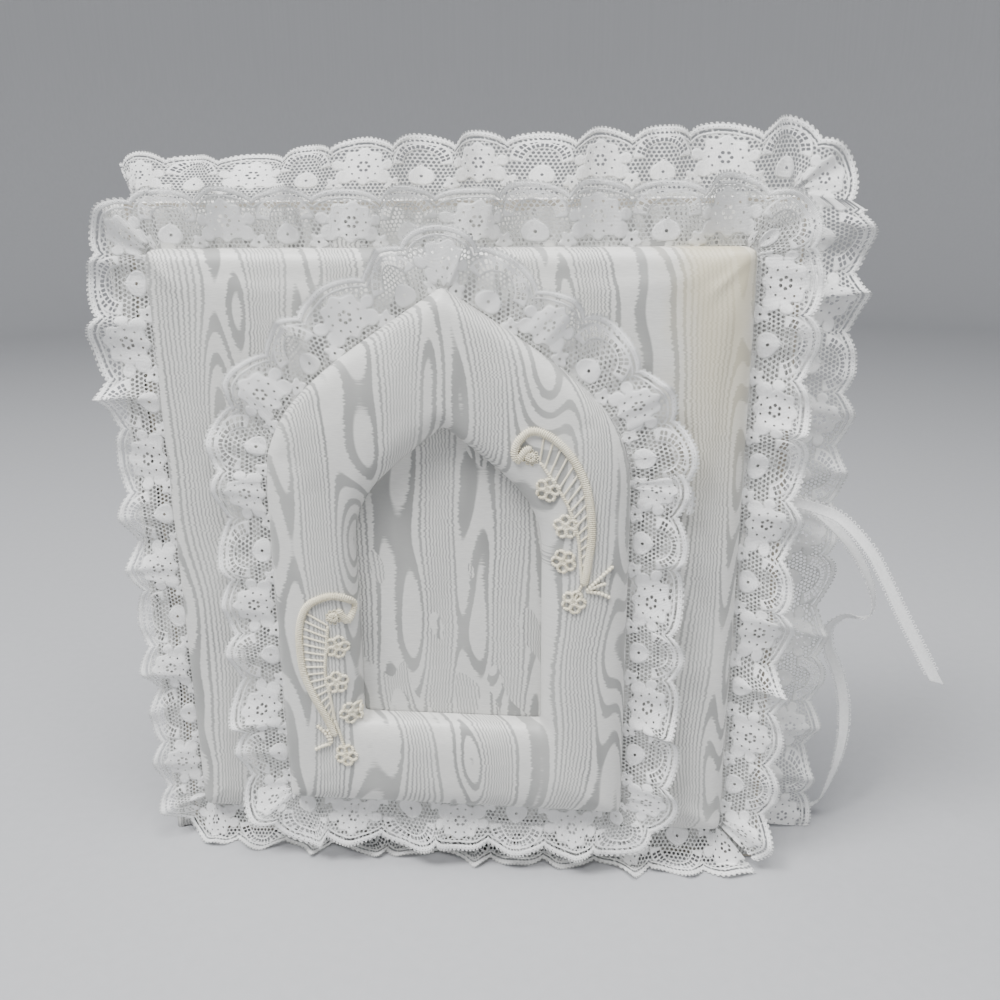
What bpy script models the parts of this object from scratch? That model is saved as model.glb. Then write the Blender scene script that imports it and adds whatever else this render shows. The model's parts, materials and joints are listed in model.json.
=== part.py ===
"""Wedding photograph album, standing closed on its lower edges, front cover towards -Y.

Two cloth-covered boards and a spine hold a post-bound block of leaves. The front cover carries
a padded moire panel with a lace ruffle, and on the panel a padded pointed-arch photograph frame
with a second ruffle. The back cover is padded and has a ruffle of its own. A picot ribbon tie
is glued inside the fore edge of each cover.

Metres, +Z up. Pieces are drawn in album coordinates: x from the panel's left edge, y from the
middle of the leaf block, z from the floor. The empty named album then moves the whole album so
that the middle of its footprint is at the origin.
"""

import math

import bmesh
import bpy
from mathutils import Vector

# Overall sizes
PANEL_W = 0.290            # padded front panel, width
PANEL_H = 0.308            # padded front panel, height
BORDER = 0.022             # how far the covers stand past the panel on each side

# Sheet materials
GAP = 0.0003               # left between pieces that touch
BOARD_T = 0.0025           # grey board in covers, spine and panel
CLOTH_T = 0.0006           # moire taffeta
LINING_T = 0.0006          # inside endpapers
LINING_INSET = 0.005       # endpapers stop short of the cover's edges by this
LACE_T = 0.0008            # gathered lace edging
HEADING = 0.008            # gathered edge of a ruffle, glued under what it trims

# Spine and cloth joints
JOINT_W = 0.0068           # cloth joint between spine and cover board
HINGE_INSET = 0.005        # hinge line, in from the outer face of the spine
SPINE_TURN = 0.0015        # spine cloth turned round each side, past the hinge line
JOINT_BULGE = 0.0007       # cloth joints stand out from the hinge line by this
JOINT_SHORT = 0.001        # and stop short of the covers' ends by this
CORNER_R = 0.004           # rounded corners of covers and panel

# Leaf block
LEAF_COUNT = 8
LEAF_T = 0.0009            # one mounted leaf
LEAF_PITCH = 0.00235       # from leaf to leaf in the closed album
LEAF_MARGIN = 0.012        # cover showing past the leaves at the fore edge
LEAF_RAISE = 0.008         # leaves stand clear of the floor by this
GUTTER_W = 0.020           # clamped strip of each leaf
LEAF_SCORE = 0.0024        # soft score between gutter strip and leaf
STRIP_T = 0.0012           # aluminium post strips
STRIP_CLEAR = 0.0014       # room for the screw heads outside each strip
POST_R = 0.0025
SCREW_R = 0.0045
SCREW_T = 0.0009
POST_INSET = 0.047         # outer posts in from the leaves' foot and head

# Padding
PANEL_PAD_T = 0.0085
ARCH_PAD_T = 0.0095
BACK_PAD_T = 0.0040
PAD_EDGE = 0.0015          # how far batting stands past its board

# Arch frame, measured up from the panel's lower edge
ARCH_X = 0.146
ARCH_HALF_W = 0.0895
ARCH_BASE = 0.018
ARCH_SPRING = 0.195
ARCH_APEX = 0.291
WINDOW_HALF_W = 0.047
WINDOW_BASE = 0.0695
WINDOW_SPRING = 0.165
WINDOW_APEX = 0.226
SHOULDER_RISE = 0.42       # shape of a pointed head: how upright its shoulder starts,
HEAD_RISE = 0.60           # how high its upper bend is,
HEAD_IN = 0.66             # and how far out from the middle, as a share of the half width
ARCH_STEPS = 8             # straight facets on each side of a pointed head
BACKING_LAP = 0.008        # photograph backing card past the window

# Ruffles
PANEL_LACE_REACH = 0.031
PANEL_LACE_FLARE = 0.009
ARCH_LACE_REACH = 0.027
ARCH_LACE_FLARE = 0.007
BACK_LACE_REACH = 0.040
BACK_LACE_TOP_REACH = 0.029
BACK_LACE_FLARE = 0.002
STIFF_SHARE = 0.2          # share of the back ruffle that stands straight before it leans
FLOOR_LACE_FLARE = 0.015   # the lower panel ruffle leans out where it meets the floor
TUCKED_LACE_REACH = 0.019  # the lower back ruffle lies on the floor under the leaves

APPLIQUE_T = 0.0014
RIBBON_W = 0.0068

# Places that follow from the sizes above
SPINE_X0 = -BORDER
SPINE_T = 2 * CLOTH_T + 2 * GAP + BOARD_T
COVER_X0 = SPINE_X0 + SPINE_T + JOINT_W
COVER_X1 = PANEL_W + BORDER
COVER_H = PANEL_H + 2 * BORDER
HINGE_X = SPINE_X0 + HINGE_INSET
BLOCK_HALF = LEAF_COUNT * LEAF_PITCH / 2 + GAP + STRIP_T + STRIP_CLEAR
BOARD_IN = BLOCK_HALF + LINING_T + GAP
BOARD_OUT = BOARD_IN + BOARD_T
HINGE_Y = (BOARD_IN + BOARD_OUT) / 2
FRONT_FACE = BOARD_OUT + GAP + CLOTH_T
BACK_FACE = BOARD_OUT + BACK_PAD_T + 2 * GAP + CLOTH_T
PANEL_BACK = FRONT_FACE + LACE_T + 2 * GAP
PANEL_FACE = PANEL_BACK + BOARD_T + PANEL_PAD_T + CLOTH_T + 2 * GAP
ARCH_BACK = PANEL_FACE + LACE_T + 2 * GAP
ARCH_FACE = ARCH_BACK + BOARD_T + ARCH_PAD_T + CLOTH_T + 2 * GAP
GUTTER_X0 = COVER_X0 + GAP
GUTTER_X1 = GUTTER_X0 + GUTTER_W
LEAF_AXIS_X = GUTTER_X1 + LEAF_SCORE / 2
LEAF_X0 = LEAF_AXIS_X + LEAF_SCORE / 2 - GAP
LEAF_X1 = COVER_X1 - LEAF_MARGIN
LEAF_TOP = COVER_H - LEAF_RAISE
POST_HEIGHTS = (LEAF_RAISE + POST_INSET, (LEAF_RAISE + LEAF_TOP) / 2, LEAF_TOP - POST_INSET)

# Middle of the footprint, cords left out
MIDDLE_X = (COVER_X1 + GAP + BACK_LACE_REACH - PANEL_LACE_REACH) / 2
MIDDLE_Y = (BACK_FACE - ARCH_FACE - GAP - APPLIQUE_T) / 2

# Ribbon ties, chosen by eye, as (x, y, z)
FRONT_TIE = (
    (0.3062, -0.0088, 0.2060), (0.3160, -0.0088, 0.2055), (0.3290, -0.0090, 0.2025),
    (0.3425, -0.0098, 0.1965), (0.3570, -0.0108, 0.1812), (0.3665, -0.0115, 0.1650),
    (0.3750, -0.0120, 0.1491), (0.3860, -0.0126, 0.1295), (0.3969, -0.0130, 0.1103),
)
BACK_TIE = (
    (0.3062, 0.0088, 0.2050), (0.3170, 0.0070, 0.2045), (0.3300, 0.0030, 0.1990),
    (0.3430, 0.0000, 0.1880), (0.3550, -0.0010, 0.1730), (0.3640, 0.0005, 0.1540),
    (0.3660, 0.0060, 0.1400), (0.3640, 0.0150, 0.1340), (0.3570, 0.0240, 0.1300),
    (0.3510, 0.0300, 0.1200), (0.3530, 0.0320, 0.1060), (0.3590, 0.0310, 0.0920),
    (0.3630, 0.0290, 0.0760), (0.3640, 0.0260, 0.0590), (0.3620, 0.0240, 0.0410),
    (0.3580, 0.0240, 0.0240), (0.3540, 0.0260, 0.0110), (0.3460, 0.0300, 0.0045),
    (0.3340, 0.0340, 0.0037),
)
TIE_POINTS = 30            # points read from each tie's smooth curve

# Outlines of the two corded appliques, as (x, height above the panel's lower edge)
APPLIQUE_RIGHT = (
    (0.178, 0.213), (0.183, 0.204), (0.189, 0.197), (0.192, 0.186), (0.197, 0.174),
    (0.198, 0.160), (0.203, 0.148), (0.204, 0.137), (0.211, 0.133), (0.218, 0.139),
    (0.227, 0.144), (0.219, 0.147), (0.228, 0.157), (0.217, 0.153), (0.218, 0.167),
    (0.215, 0.183), (0.209, 0.200), (0.202, 0.214), (0.193, 0.224), (0.185, 0.226),
    (0.179, 0.221),
)
APPLIQUE_LEFT = (
    (0.079, 0.057), (0.073, 0.051), (0.080, 0.048), (0.084, 0.041), (0.091, 0.043),
    (0.092, 0.052), (0.095, 0.063), (0.093, 0.071), (0.089, 0.077), (0.091, 0.088),
    (0.088, 0.097), (0.091, 0.107), (0.087, 0.119), (0.094, 0.127), (0.093, 0.136),
    (0.085, 0.141), (0.077, 0.137), (0.072, 0.126), (0.071, 0.110), (0.073, 0.090),
    (0.077, 0.072),
)


def clear_scene():
    for leftover in list(bpy.data.objects):
        bpy.data.objects.remove(leftover, do_unlink=True)


def make_material(name, colour, roughness, metallic=0.0):
    material = bpy.data.materials.new(name)
    material.use_nodes = True
    shader = material.node_tree.nodes["Principled BSDF"]
    shader.inputs["Base Color"].default_value = (*colour, 1.0)
    shader.inputs["Roughness"].default_value = roughness
    shader.inputs["Metallic"].default_value = metallic
    return material


def make_empty(name, place, parent=None):
    """An axis or a whole body, placed in album coordinates."""
    empty = bpy.data.objects.new(name, None)
    empty.empty_display_size = 0.03
    bpy.context.collection.objects.link(empty)
    empty["album_place"] = place
    if parent is None:
        empty.location = place
        return empty
    empty.parent = parent
    origin = (0.0, 0.0, 0.0) if parent.name == "album" else parent["album_place"]
    empty.location = Vector(place) - Vector(origin)
    return empty


def add_piece(name, mesh, material, body):
    """Turns a mesh drawn in album coordinates into a piece with its origin on the body's axis."""
    mesh.validate()
    mesh.materials.append(material)
    piece = bpy.data.objects.new(name, mesh)
    bpy.context.collection.objects.link(piece)
    origin = Vector(body["album_place"])
    for vertex in mesh.vertices:
        vertex.co -= origin
    piece.parent = body
    return piece


def mesh_from(points, faces, name):
    """A closed mesh with its faces turned outwards."""
    shape = bmesh.new()
    verts = [shape.verts.new(point) for point in points]
    for face in faces:
        shape.faces.new([verts[index] for index in face])
    bmesh.ops.recalc_face_normals(shape, faces=shape.faces)
    mesh = bpy.data.meshes.new(name)
    shape.to_mesh(mesh)
    shape.free()
    return mesh


def loop_walls(first, second, count):
    """Quads between two loops of points that start at two indices."""
    return [
        (first + i, first + (i + 1) % count, second + (i + 1) % count, second + i)
        for i in range(count)
    ]


def prism(name, outline, y0, y1, material, body):
    """A flat piece: an outline in x and z, from y0 to y1."""
    count = len(outline)
    points = [(x, y, z) for y in (y0, y1) for x, z in outline]
    faces = [tuple(range(count)), tuple(range(count, 2 * count))]
    faces += loop_walls(0, count, count)
    return add_piece(name, mesh_from(points, faces, name), material, body)


def tray(name, outline, y_face, y_rim, material, body):
    """Cloth over one face of a slab and round its edges, open at y_rim."""
    count = len(outline)
    y_floor = y_face + math.copysign(CLOTH_T, y_rim - y_face)
    inner = offset_outline(outline, CLOTH_T)
    loops = ((outline, y_face), (outline, y_rim), (inner, y_rim), (inner, y_floor))
    points = [(x, y, z) for loop, y in loops for x, z in loop]
    faces = [tuple(range(count)), tuple(range(3 * count, 4 * count))]
    for step in range(3):
        faces += loop_walls(step * count, (step + 1) * count, count)
    return add_piece(name, mesh_from(points, faces, name), material, body)


def frame_prism(name, outline, hole, y0, y1, material, body):
    """A flat piece with a window; both outlines have the same number of points."""
    count = len(outline)
    loops = ((outline, y0), (outline, y1), (hole, y1), (hole, y0))
    points = [(x, y, z) for loop, y in loops for x, z in loop]
    faces = []
    for step in range(4):
        faces += loop_walls(step * count, (step + 1) % 4 * count, count)
    return add_piece(name, mesh_from(points, faces, name), material, body)


def frame_tray(name, outline, hole, y_face, y_rim, material, body):
    """Cloth over a padded frame, turned in round its outside and through its window."""
    count = len(outline)
    y_floor = y_face + math.copysign(CLOTH_T, y_rim - y_face)
    loops = (
        (outline, y_face), (outline, y_rim), (offset_outline(outline, CLOTH_T), y_rim),
        (offset_outline(outline, CLOTH_T), y_floor), (offset_outline(hole, -CLOTH_T), y_floor),
        (offset_outline(hole, -CLOTH_T), y_rim), (hole, y_rim), (hole, y_face),
    )
    points = [(x, y, z) for loop, y in loops for x, z in loop]
    faces = []
    for step in range(len(loops)):
        faces += loop_walls(step * count, (step + 1) % len(loops) * count, count)
    return add_piece(name, mesh_from(points, faces, name), material, body)


def offset_outline(outline, distance):
    """Moves each edge of a closed outline, drawn anticlockwise, inwards by distance."""
    moved = []
    count = len(outline)
    for i in range(count):
        before = Vector(outline[i - 1])
        here = Vector(outline[i])
        after = Vector(outline[(i + 1) % count])
        edge_in = (here - before).normalized()
        edge_out = (after - here).normalized()
        normal_in = Vector((-edge_in.y, edge_in.x))
        normal_out = Vector((-edge_out.y, edge_out.x))
        middle = (normal_in + normal_out).normalized()
        moved.append(tuple(here + middle * distance / middle.dot(normal_in)))
    return moved


def rounded_rectangle(x0, x1, z0, z1, radius=CORNER_R, steps=3):
    """An anticlockwise outline that starts at the lower left corner."""
    outline = []
    corners = ((x0, z0, 180), (x1, z0, 270), (x1, z1, 0), (x0, z1, 90))
    for x, z, start in corners:
        centre_x = x + radius if x == x0 else x - radius
        centre_z = z + radius if z == z0 else z - radius
        for step in range(steps + 1):
            angle = math.radians(start + 90 * step / steps)
            outline.append((centre_x + radius * math.cos(angle),
                            centre_z + radius * math.sin(angle)))
    return outline


def rectangle(x0, x1, z0, z1):
    return [(x0, z0), (x1, z0), (x1, z1), (x0, z1)]


def pointed_arch(half_w, base, spring, apex):
    """Anticlockwise outline of a pointed arch: square foot, cubic shoulders, sharp head."""
    rise = apex - spring
    outline = [(-half_w, base), (half_w, base)]
    right = []
    for step in range(ARCH_STEPS + 1):
        t = step / ARCH_STEPS
        first, second, third, last = (1 - t) ** 3, 3 * t * (1 - t) ** 2, 3 * t * t * (1 - t), t ** 3
        x = (first + second + third * HEAD_IN) * half_w
        z = spring + rise * (second * SHOULDER_RISE + third * HEAD_RISE + last)
        right.append((x, z))
    left = [(-x, z) for x, z in reversed(right[:-1])]
    return [(ARCH_X + x, BORDER + z) for x, z in outline + right + left]


def lace_strip(name, heading, edge, hem, y_root, y_hem, material, body):
    """One run of ruffle: glued heading, then a flat skirt leaning from y_root to y_hem."""
    rows = ((heading, y_root), (edge, y_root), (hem, y_hem))
    points = []
    for k in range(len(edge)):
        for row, y in rows:
            points.append((row[k][0], y, row[k][1]))
            points.append((row[k][0], y + LACE_T, row[k][1]))
    faces = []
    ring = (0, 2, 4, 5, 3, 1)
    for k in range(len(edge) - 1):
        near = 6 * k
        far = near + 6
        for i in range(6):
            a, b = ring[i], ring[(i + 1) % 6]
            faces.append((near + a, near + b, far + b, far + a))
    last = 6 * (len(edge) - 1)
    faces.append((0, 2, 3, 1))
    faces.append((2, 4, 5, 3))
    faces.append((last, last + 2, last + 3, last + 1))
    faces.append((last + 2, last + 4, last + 5, last + 3))
    return add_piece(name, mesh_from(points, faces, name), material, body)


def trimmed(points):
    """Shortens a run at both ends by GAP, so that mitred runs don't touch."""
    first, second = Vector(points[0]), Vector(points[1])
    last, before = Vector(points[-1]), Vector(points[-2])
    start = first + (second - first).normalized() * GAP
    end = last + (before - last).normalized() * GAP
    return [tuple(start), *points[1:-1], tuple(end)]


def cylinder_y(centre_x, centre_z, radius, y0, y1, sides=12):
    """Points and faces of a round bar along y."""
    points = []
    for y in (y0, y1):
        for step in range(sides):
            angle = 2 * math.pi * step / sides
            points.append((centre_x + radius * math.cos(angle), y,
                           centre_z + radius * math.sin(angle)))
    faces = [tuple(range(sides)), tuple(range(sides, 2 * sides))]
    faces += loop_walls(0, sides, sides)
    return points, faces


def round_bar(name, centre_x, centre_z, radius, y0, y1, material, body):
    points, faces = cylinder_y(centre_x, centre_z, radius, y0, y1)
    return add_piece(name, mesh_from(points, faces, name), material, body)


def drilled_strip(name, y0, y1, material, body):
    """A long strip across the gutter, drilled for the posts by hidden cutters."""
    outline = rectangle(GUTTER_X0, GUTTER_X1, LEAF_RAISE, LEAF_TOP)
    strip = prism(name, outline, y0, y1, material, body)
    for number, height in enumerate(POST_HEIGHTS, start=1):
        drill = round_bar(f"{name}_drill_{number}", (GUTTER_X0 + GUTTER_X1) / 2, height,
                          POST_R + GAP, -BLOCK_HALF, BLOCK_HALF, material, body)
        drill.hide_render = True
        drill.display_type = "WIRE"
        bore = strip.modifiers.new(f"post_hole_{number}", "BOOLEAN")
        bore.operation = "DIFFERENCE"
        bore.solver = "EXACT"
        bore.object = drill
    return strip


def smooth_route(points, count):
    """Evenly spaced points on the smooth curve through a route's own points."""
    route = [Vector(point) for point in points]
    fine = []
    for i in range(len(route) - 1):
        p0 = route[max(i - 1, 0)]
        p1, p2 = route[i], route[i + 1]
        p3 = route[min(i + 2, len(route) - 1)]
        for step in range(16):
            t = step / 16
            fine.append(0.5 * ((2 * p1) + (p2 - p0) * t + (2 * p0 - 5 * p1 + 4 * p2 - p3) * t * t
                               + (3 * p1 - p0 - 3 * p2 + p3) * t ** 3))
    fine.append(route[-1])
    lengths = [0.0]
    for before, after in zip(fine, fine[1:]):
        lengths.append(lengths[-1] + (after - before).length)
    spaced = []
    k = 0
    for i in range(count):
        target = lengths[-1] * i / (count - 1)
        while k < len(fine) - 2 and lengths[k + 1] < target:
            k += 1
        share = (target - lengths[k]) / (lengths[k + 1] - lengths[k])
        spaced.append(fine[k].lerp(fine[k + 1], min(share, 1.0)))
    return spaced


def ribbon_tie(name, points, material, body):
    """A ribbon tie as a plain tube as thick as the ribbon is wide."""
    curve = bpy.data.curves.new(name, "CURVE")
    curve.dimensions = "3D"
    curve.bevel_depth = RIBBON_W / 2
    curve.bevel_resolution = 2
    curve.use_fill_caps = True
    spline = curve.splines.new("POLY")
    route = smooth_route(points, TIE_POINTS)
    spline.points.add(len(route) - 1)
    origin = Vector(body["album_place"])
    for slot, point in zip(spline.points, route):
        slot.co = (*(point - origin), 1.0)
    curve.materials.append(material)
    tie = bpy.data.objects.new(name, curve)
    bpy.context.collection.objects.link(tie)
    tie.parent = body
    return tie


def make_spine(body, finish):
    """Board, outer cloth and lining between the two cloth joints."""
    cloth_x1 = SPINE_X0 + CLOTH_T
    board_x0 = cloth_x1 + GAP
    board_x1 = board_x0 + BOARD_T
    half = HINGE_Y + SPINE_TURN
    inside = half - CLOTH_T - GAP
    points = [
        (SPINE_X0, -half), (board_x1, -half), (board_x1, -inside - GAP), (cloth_x1, -inside - GAP),
        (cloth_x1, inside + GAP), (board_x1, inside + GAP), (board_x1, half), (SPINE_X0, half),
    ]
    count = len(points)
    solid = [(x, y, z) for z in (0.0, COVER_H) for x, y in points]
    faces = [tuple(range(count)), tuple(range(count, 2 * count))] + loop_walls(0, count, count)
    add_piece("spine_cloth", mesh_from(solid, faces, "spine_cloth"), finish["moire"], body)
    outline = rectangle(board_x0, board_x1, GAP, COVER_H - GAP)
    prism("spine_board", outline, -inside, inside, finish["board"], body)
    lining_x0 = board_x1 + GAP
    lining = rectangle(lining_x0, lining_x0 + LINING_T, LINING_INSET, COVER_H - LINING_INSET)
    prism("spine_lining", lining, -BLOCK_HALF, BLOCK_HALF, finish["lining"], body)


def make_binding(body, finish):
    """Post strips, posts and screws that clamp the gutters of the leaves."""
    inner = BLOCK_HALF - STRIP_CLEAR - STRIP_T
    outer = BLOCK_HALF - STRIP_CLEAR
    drilled_strip("front_post_strip", -outer, -inner, finish["metal"], body)
    drilled_strip("back_post_strip", inner, outer, finish["metal"], body)
    block = LEAF_COUNT * LEAF_PITCH / 2
    drilled_strip("leaf_gutter_block", -block, block, finish["leaf"], body)
    middle = (GUTTER_X0 + GUTTER_X1) / 2
    for number, height in enumerate(POST_HEIGHTS, start=1):
        round_bar(f"binding_post_{number}", middle, height, POST_R, -outer, outer,
                  finish["metal"], body)
        for label, side in (("front", -1), ("back", 1)):
            under_head = side * (outer + GAP)
            round_bar(f"{label}_post_screw_{number}", middle, height, SCREW_R,
                      under_head, under_head + side * SCREW_T, finish["metal"], body)


def leaf_y(index):
    return (index - (LEAF_COUNT - 1) / 2) * LEAF_PITCH


def make_leaves(album, finish):
    """Stiff leaves, each on its own score next to its gutter strip."""
    outline = rectangle(LEAF_X0, LEAF_X1, LEAF_RAISE, LEAF_TOP)
    for index in range(LEAF_COUNT):
        y = leaf_y(index)
        axis = make_empty(f"leaf_{index + 1}_score", (LEAF_AXIS_X, y, 0.0), album)
        prism(f"leaf_{index + 1}", outline, y - LEAF_T / 2, y + LEAF_T / 2, finish["leaf"], axis)


def make_cover(side, label, body, finish):
    """Board, outer cloth and lining of one cover; side is -1 in front and 1 behind."""
    outline = rounded_rectangle(COVER_X0, COVER_X1, 0.0, COVER_H)
    face = FRONT_FACE if side < 0 else BACK_FACE
    tray(f"{label}_cover_cloth", outline, side * face, side * BOARD_IN, finish["moire"], body)
    board = offset_outline(outline, CLOTH_T + GAP)
    prism(f"{label}_cover_board", board, side * BOARD_IN, side * BOARD_OUT, finish["board"], body)
    square = rectangle(COVER_X0, COVER_X1, 0.0, COVER_H)
    lining = offset_outline(square, LINING_INSET)
    prism(f"{label}_cover_lining", lining, side * BLOCK_HALF, side * (BLOCK_HALF + LINING_T),
          finish["lining"], body)
    joint = rectangle(SPINE_X0 + SPINE_T - CLOTH_T, COVER_X0 - GAP,
                      JOINT_SHORT, COVER_H - JOINT_SHORT)
    y_joint = side * (HINGE_Y + JOINT_BULGE)
    prism(f"{label}_joint_cloth", joint, y_joint, y_joint + side * CLOTH_T, finish["moire"], body)


def make_panel(body, finish):
    """Padded panel on the front cover, with its board, batting and moire."""
    outline = rounded_rectangle(0.0, PANEL_W, BORDER, BORDER + PANEL_H)
    tray("panel_cloth", outline, -PANEL_FACE, -PANEL_BACK, finish["moire"], body)
    batting = offset_outline(outline, CLOTH_T + GAP)
    board = offset_outline(batting, PAD_EDGE)
    y_board = -PANEL_BACK - BOARD_T
    prism("panel_board", board, y_board, -PANEL_BACK, finish["board"], body)
    prism("panel_padding", batting, y_board - GAP - PANEL_PAD_T, y_board - GAP,
          finish["batting"], body)


def make_panel_lace(body, finish):
    """Four runs of ruffle round the panel; the left one has both corners that cross the spine."""
    low, high = BORDER, BORDER + PANEL_H
    edge = rectangle(0.0, PANEL_W, low, high)
    heading = offset_outline(edge, HEADING)
    right, top = PANEL_W + PANEL_LACE_REACH, high + PANEL_LACE_REACH
    hem = [(0.0, GAP), (right, GAP), (right, top), (0.0, top)]
    y_root = -FRONT_FACE - GAP - LACE_T
    runs = (("bottom", 0, 1, FLOOR_LACE_FLARE), ("right", 1, 2, PANEL_LACE_FLARE),
            ("top", 2, 3, PANEL_LACE_FLARE))
    for label, a, b, flare in runs:
        rows = [trimmed([row[a], row[b]]) for row in (heading, edge, hem)]
        lace_strip(f"panel_lace_{label}", *rows, y_root, y_root - flare, finish["lace"], body)
    heights = (top, high, high - HEADING, low + HEADING, low, GAP)
    inner = (-GAP, -GAP, HEADING - GAP, HEADING - GAP, -GAP, -GAP)
    rows = (list(zip(inner, heights)), [(-2 * GAP, z) for z in heights],
            [(-PANEL_LACE_REACH, z) for z in heights])
    lace_strip("panel_lace_left", *rows, y_root, y_root - PANEL_LACE_FLARE, finish["lace"], body)


def make_arch(body, finish):
    """Padded pointed-arch frame and the card behind its window."""
    outline = pointed_arch(ARCH_HALF_W, ARCH_BASE, ARCH_SPRING, ARCH_APEX)
    window = pointed_arch(WINDOW_HALF_W, WINDOW_BASE, WINDOW_SPRING, WINDOW_APEX)
    frame_tray("arch_cloth", outline, window, -ARCH_FACE, -ARCH_BACK, finish["moire"], body)
    batting = offset_outline(outline, CLOTH_T + GAP)
    batting_hole = offset_outline(window, -CLOTH_T - GAP)
    y_board = -ARCH_BACK - BOARD_T
    frame_prism("arch_board", offset_outline(batting, PAD_EDGE),
                offset_outline(batting_hole, -PAD_EDGE), y_board, -ARCH_BACK,
                finish["board"], body)
    frame_prism("arch_padding", batting, batting_hole, y_board - GAP - ARCH_PAD_T, y_board - GAP,
                finish["batting"], body)
    card = offset_outline(window, -BACKING_LAP)
    prism("photo_backing_card", card, -PANEL_FACE - GAP - CLOTH_T, -PANEL_FACE - GAP,
          finish["moire"], body)


def make_arch_lace(body, finish):
    """Five mitred runs of ruffle round the arch, between it and the panel."""
    edge = pointed_arch(ARCH_HALF_W, ARCH_BASE, ARCH_SPRING, ARCH_APEX)
    heading = offset_outline(edge, HEADING)
    hem = offset_outline(edge, -ARCH_LACE_REACH)
    y_root = -PANEL_FACE - GAP - LACE_T
    apex = 2 + ARCH_STEPS
    runs = (("bottom", [0, 1]), ("right", [1, 2]), ("right_slope", list(range(2, apex + 1))),
            ("left_slope", list(range(apex, len(edge)))), ("left", [len(edge) - 1, 0]))
    for label, indices in runs:
        rows = [trimmed([row[i] for i in indices]) for row in (heading, edge, hem)]
        lace_strip(f"arch_lace_{label}", *rows, y_root, y_root - ARCH_LACE_FLARE,
                   finish["lace"], body)


def make_appliques(body, finish):
    """Two corded paisley sprays glued to the arch."""
    for label, outline in (("right", APPLIQUE_RIGHT), ("left", APPLIQUE_LEFT)):
        raised = [(x, BORDER + z) for x, z in outline]
        prism(f"applique_{label}", raised, -ARCH_FACE - GAP - APPLIQUE_T, -ARCH_FACE - GAP,
              finish["guipure"], body)


def make_back_lace(body, finish):
    """Ruffle on the inner edge of the back cover: top, fore edge, and tucked under the leaves."""
    top = COVER_H + GAP
    fore = COVER_X1 + GAP
    y_root = BOARD_IN
    corner = (fore + BACK_LACE_REACH, top + BACK_LACE_TOP_REACH)
    y_hem = y_root + BACK_LACE_FLARE
    runs = (
        ("top", [(fore - CORNER_R, top), (SPINE_X0, top)],
         [(corner[0] - GAP, corner[1]), (SPINE_X0, corner[1])]),
        ("fore_edge", [(fore, GAP), (fore, top - CORNER_R)],
         [(corner[0], GAP), (corner[0], corner[1] - GAP)]),
    )
    for label, edge, hem in runs:
        lift = [tuple(Vector(a).lerp(Vector(b), STIFF_SHARE)) for a, b in zip(edge, hem)]
        lace_strip(f"back_lace_{label}", edge, lift, hem, y_root, y_hem, finish["lace"], body)
    y_tuck = BLOCK_HALF - GAP
    points = []
    for x in (COVER_X0 + LINING_INSET, COVER_X1 - LINING_INSET):
        for y, z in ((y_tuck, GAP), (y_tuck - TUCKED_LACE_REACH, GAP),
                     (y_tuck - TUCKED_LACE_REACH, GAP + LACE_T), (y_tuck, GAP + LACE_T)):
            points.append((x, y, z))
    faces = [(0, 1, 2, 3), (4, 5, 6, 7)] + loop_walls(0, 4, 4)
    add_piece("back_lace_tucked", mesh_from(points, faces, "back_lace_tucked"),
              finish["lace"], body)


def make_back_padding(body, finish):
    outline = rounded_rectangle(COVER_X0, COVER_X1, 0.0, COVER_H)
    batting = offset_outline(outline, CLOTH_T + GAP)
    prism("back_cover_padding", batting, BOARD_OUT + GAP, BOARD_OUT + BACK_PAD_T,
          finish["batting"], body)


def make_finishes():
    return {
        "moire": make_material("moire_taffeta", (0.80, 0.79, 0.75), 0.45),
        "board": make_material("grey_board", (0.42, 0.38, 0.33), 0.85),
        "batting": make_material("polyester_batting", (0.90, 0.90, 0.88), 0.95),
        "lining": make_material("endpaper", (0.86, 0.85, 0.81), 0.70),
        "lace": make_material("raschel_lace", (0.88, 0.88, 0.86), 0.70),
        "guipure": make_material("guipure_cord", (0.78, 0.73, 0.58), 0.60),
        "leaf": make_material("album_leaf", (0.88, 0.86, 0.80), 0.55),
        "metal": make_material("aluminium", (0.75, 0.75, 0.76), 0.35, 1.0),
        "ribbon": make_material("satin_ribbon", (0.85, 0.85, 0.84), 0.35),
    }


def build_album():
    clear_scene()
    finish = make_finishes()
    album = make_empty("album", (-MIDDLE_X, -MIDDLE_Y, 0.0))
    binding = make_empty("binding", (0.0, 0.0, 0.0), album)
    front = make_empty("front_cover_hinge", (HINGE_X, -HINGE_Y, 0.0), album)
    back = make_empty("back_cover_hinge", (HINGE_X, HINGE_Y, 0.0), album)
    make_spine(binding, finish)
    make_binding(binding, finish)
    make_leaves(album, finish)
    make_cover(-1, "front", front, finish)
    make_panel(front, finish)
    make_panel_lace(front, finish)
    make_arch(front, finish)
    make_arch_lace(front, finish)
    make_appliques(front, finish)
    make_cover(1, "back", back, finish)
    make_back_padding(back, finish)
    make_back_lace(back, finish)
    ribbon_tie("front_ribbon_tie", FRONT_TIE, finish["ribbon"], front)
    ribbon_tie("back_ribbon_tie", BACK_TIE, finish["ribbon"], back)


build_album()
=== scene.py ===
"""Wedding album: padded moire covers, lace ruffles, a pointed-arch picture frame, corded
appliques and picot ribbon ties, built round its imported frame.
"""
import json
import math

import bpy
import numpy as np
from mathutils import Matrix, Vector
from mathutils.bvhtree import BVHTree


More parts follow.
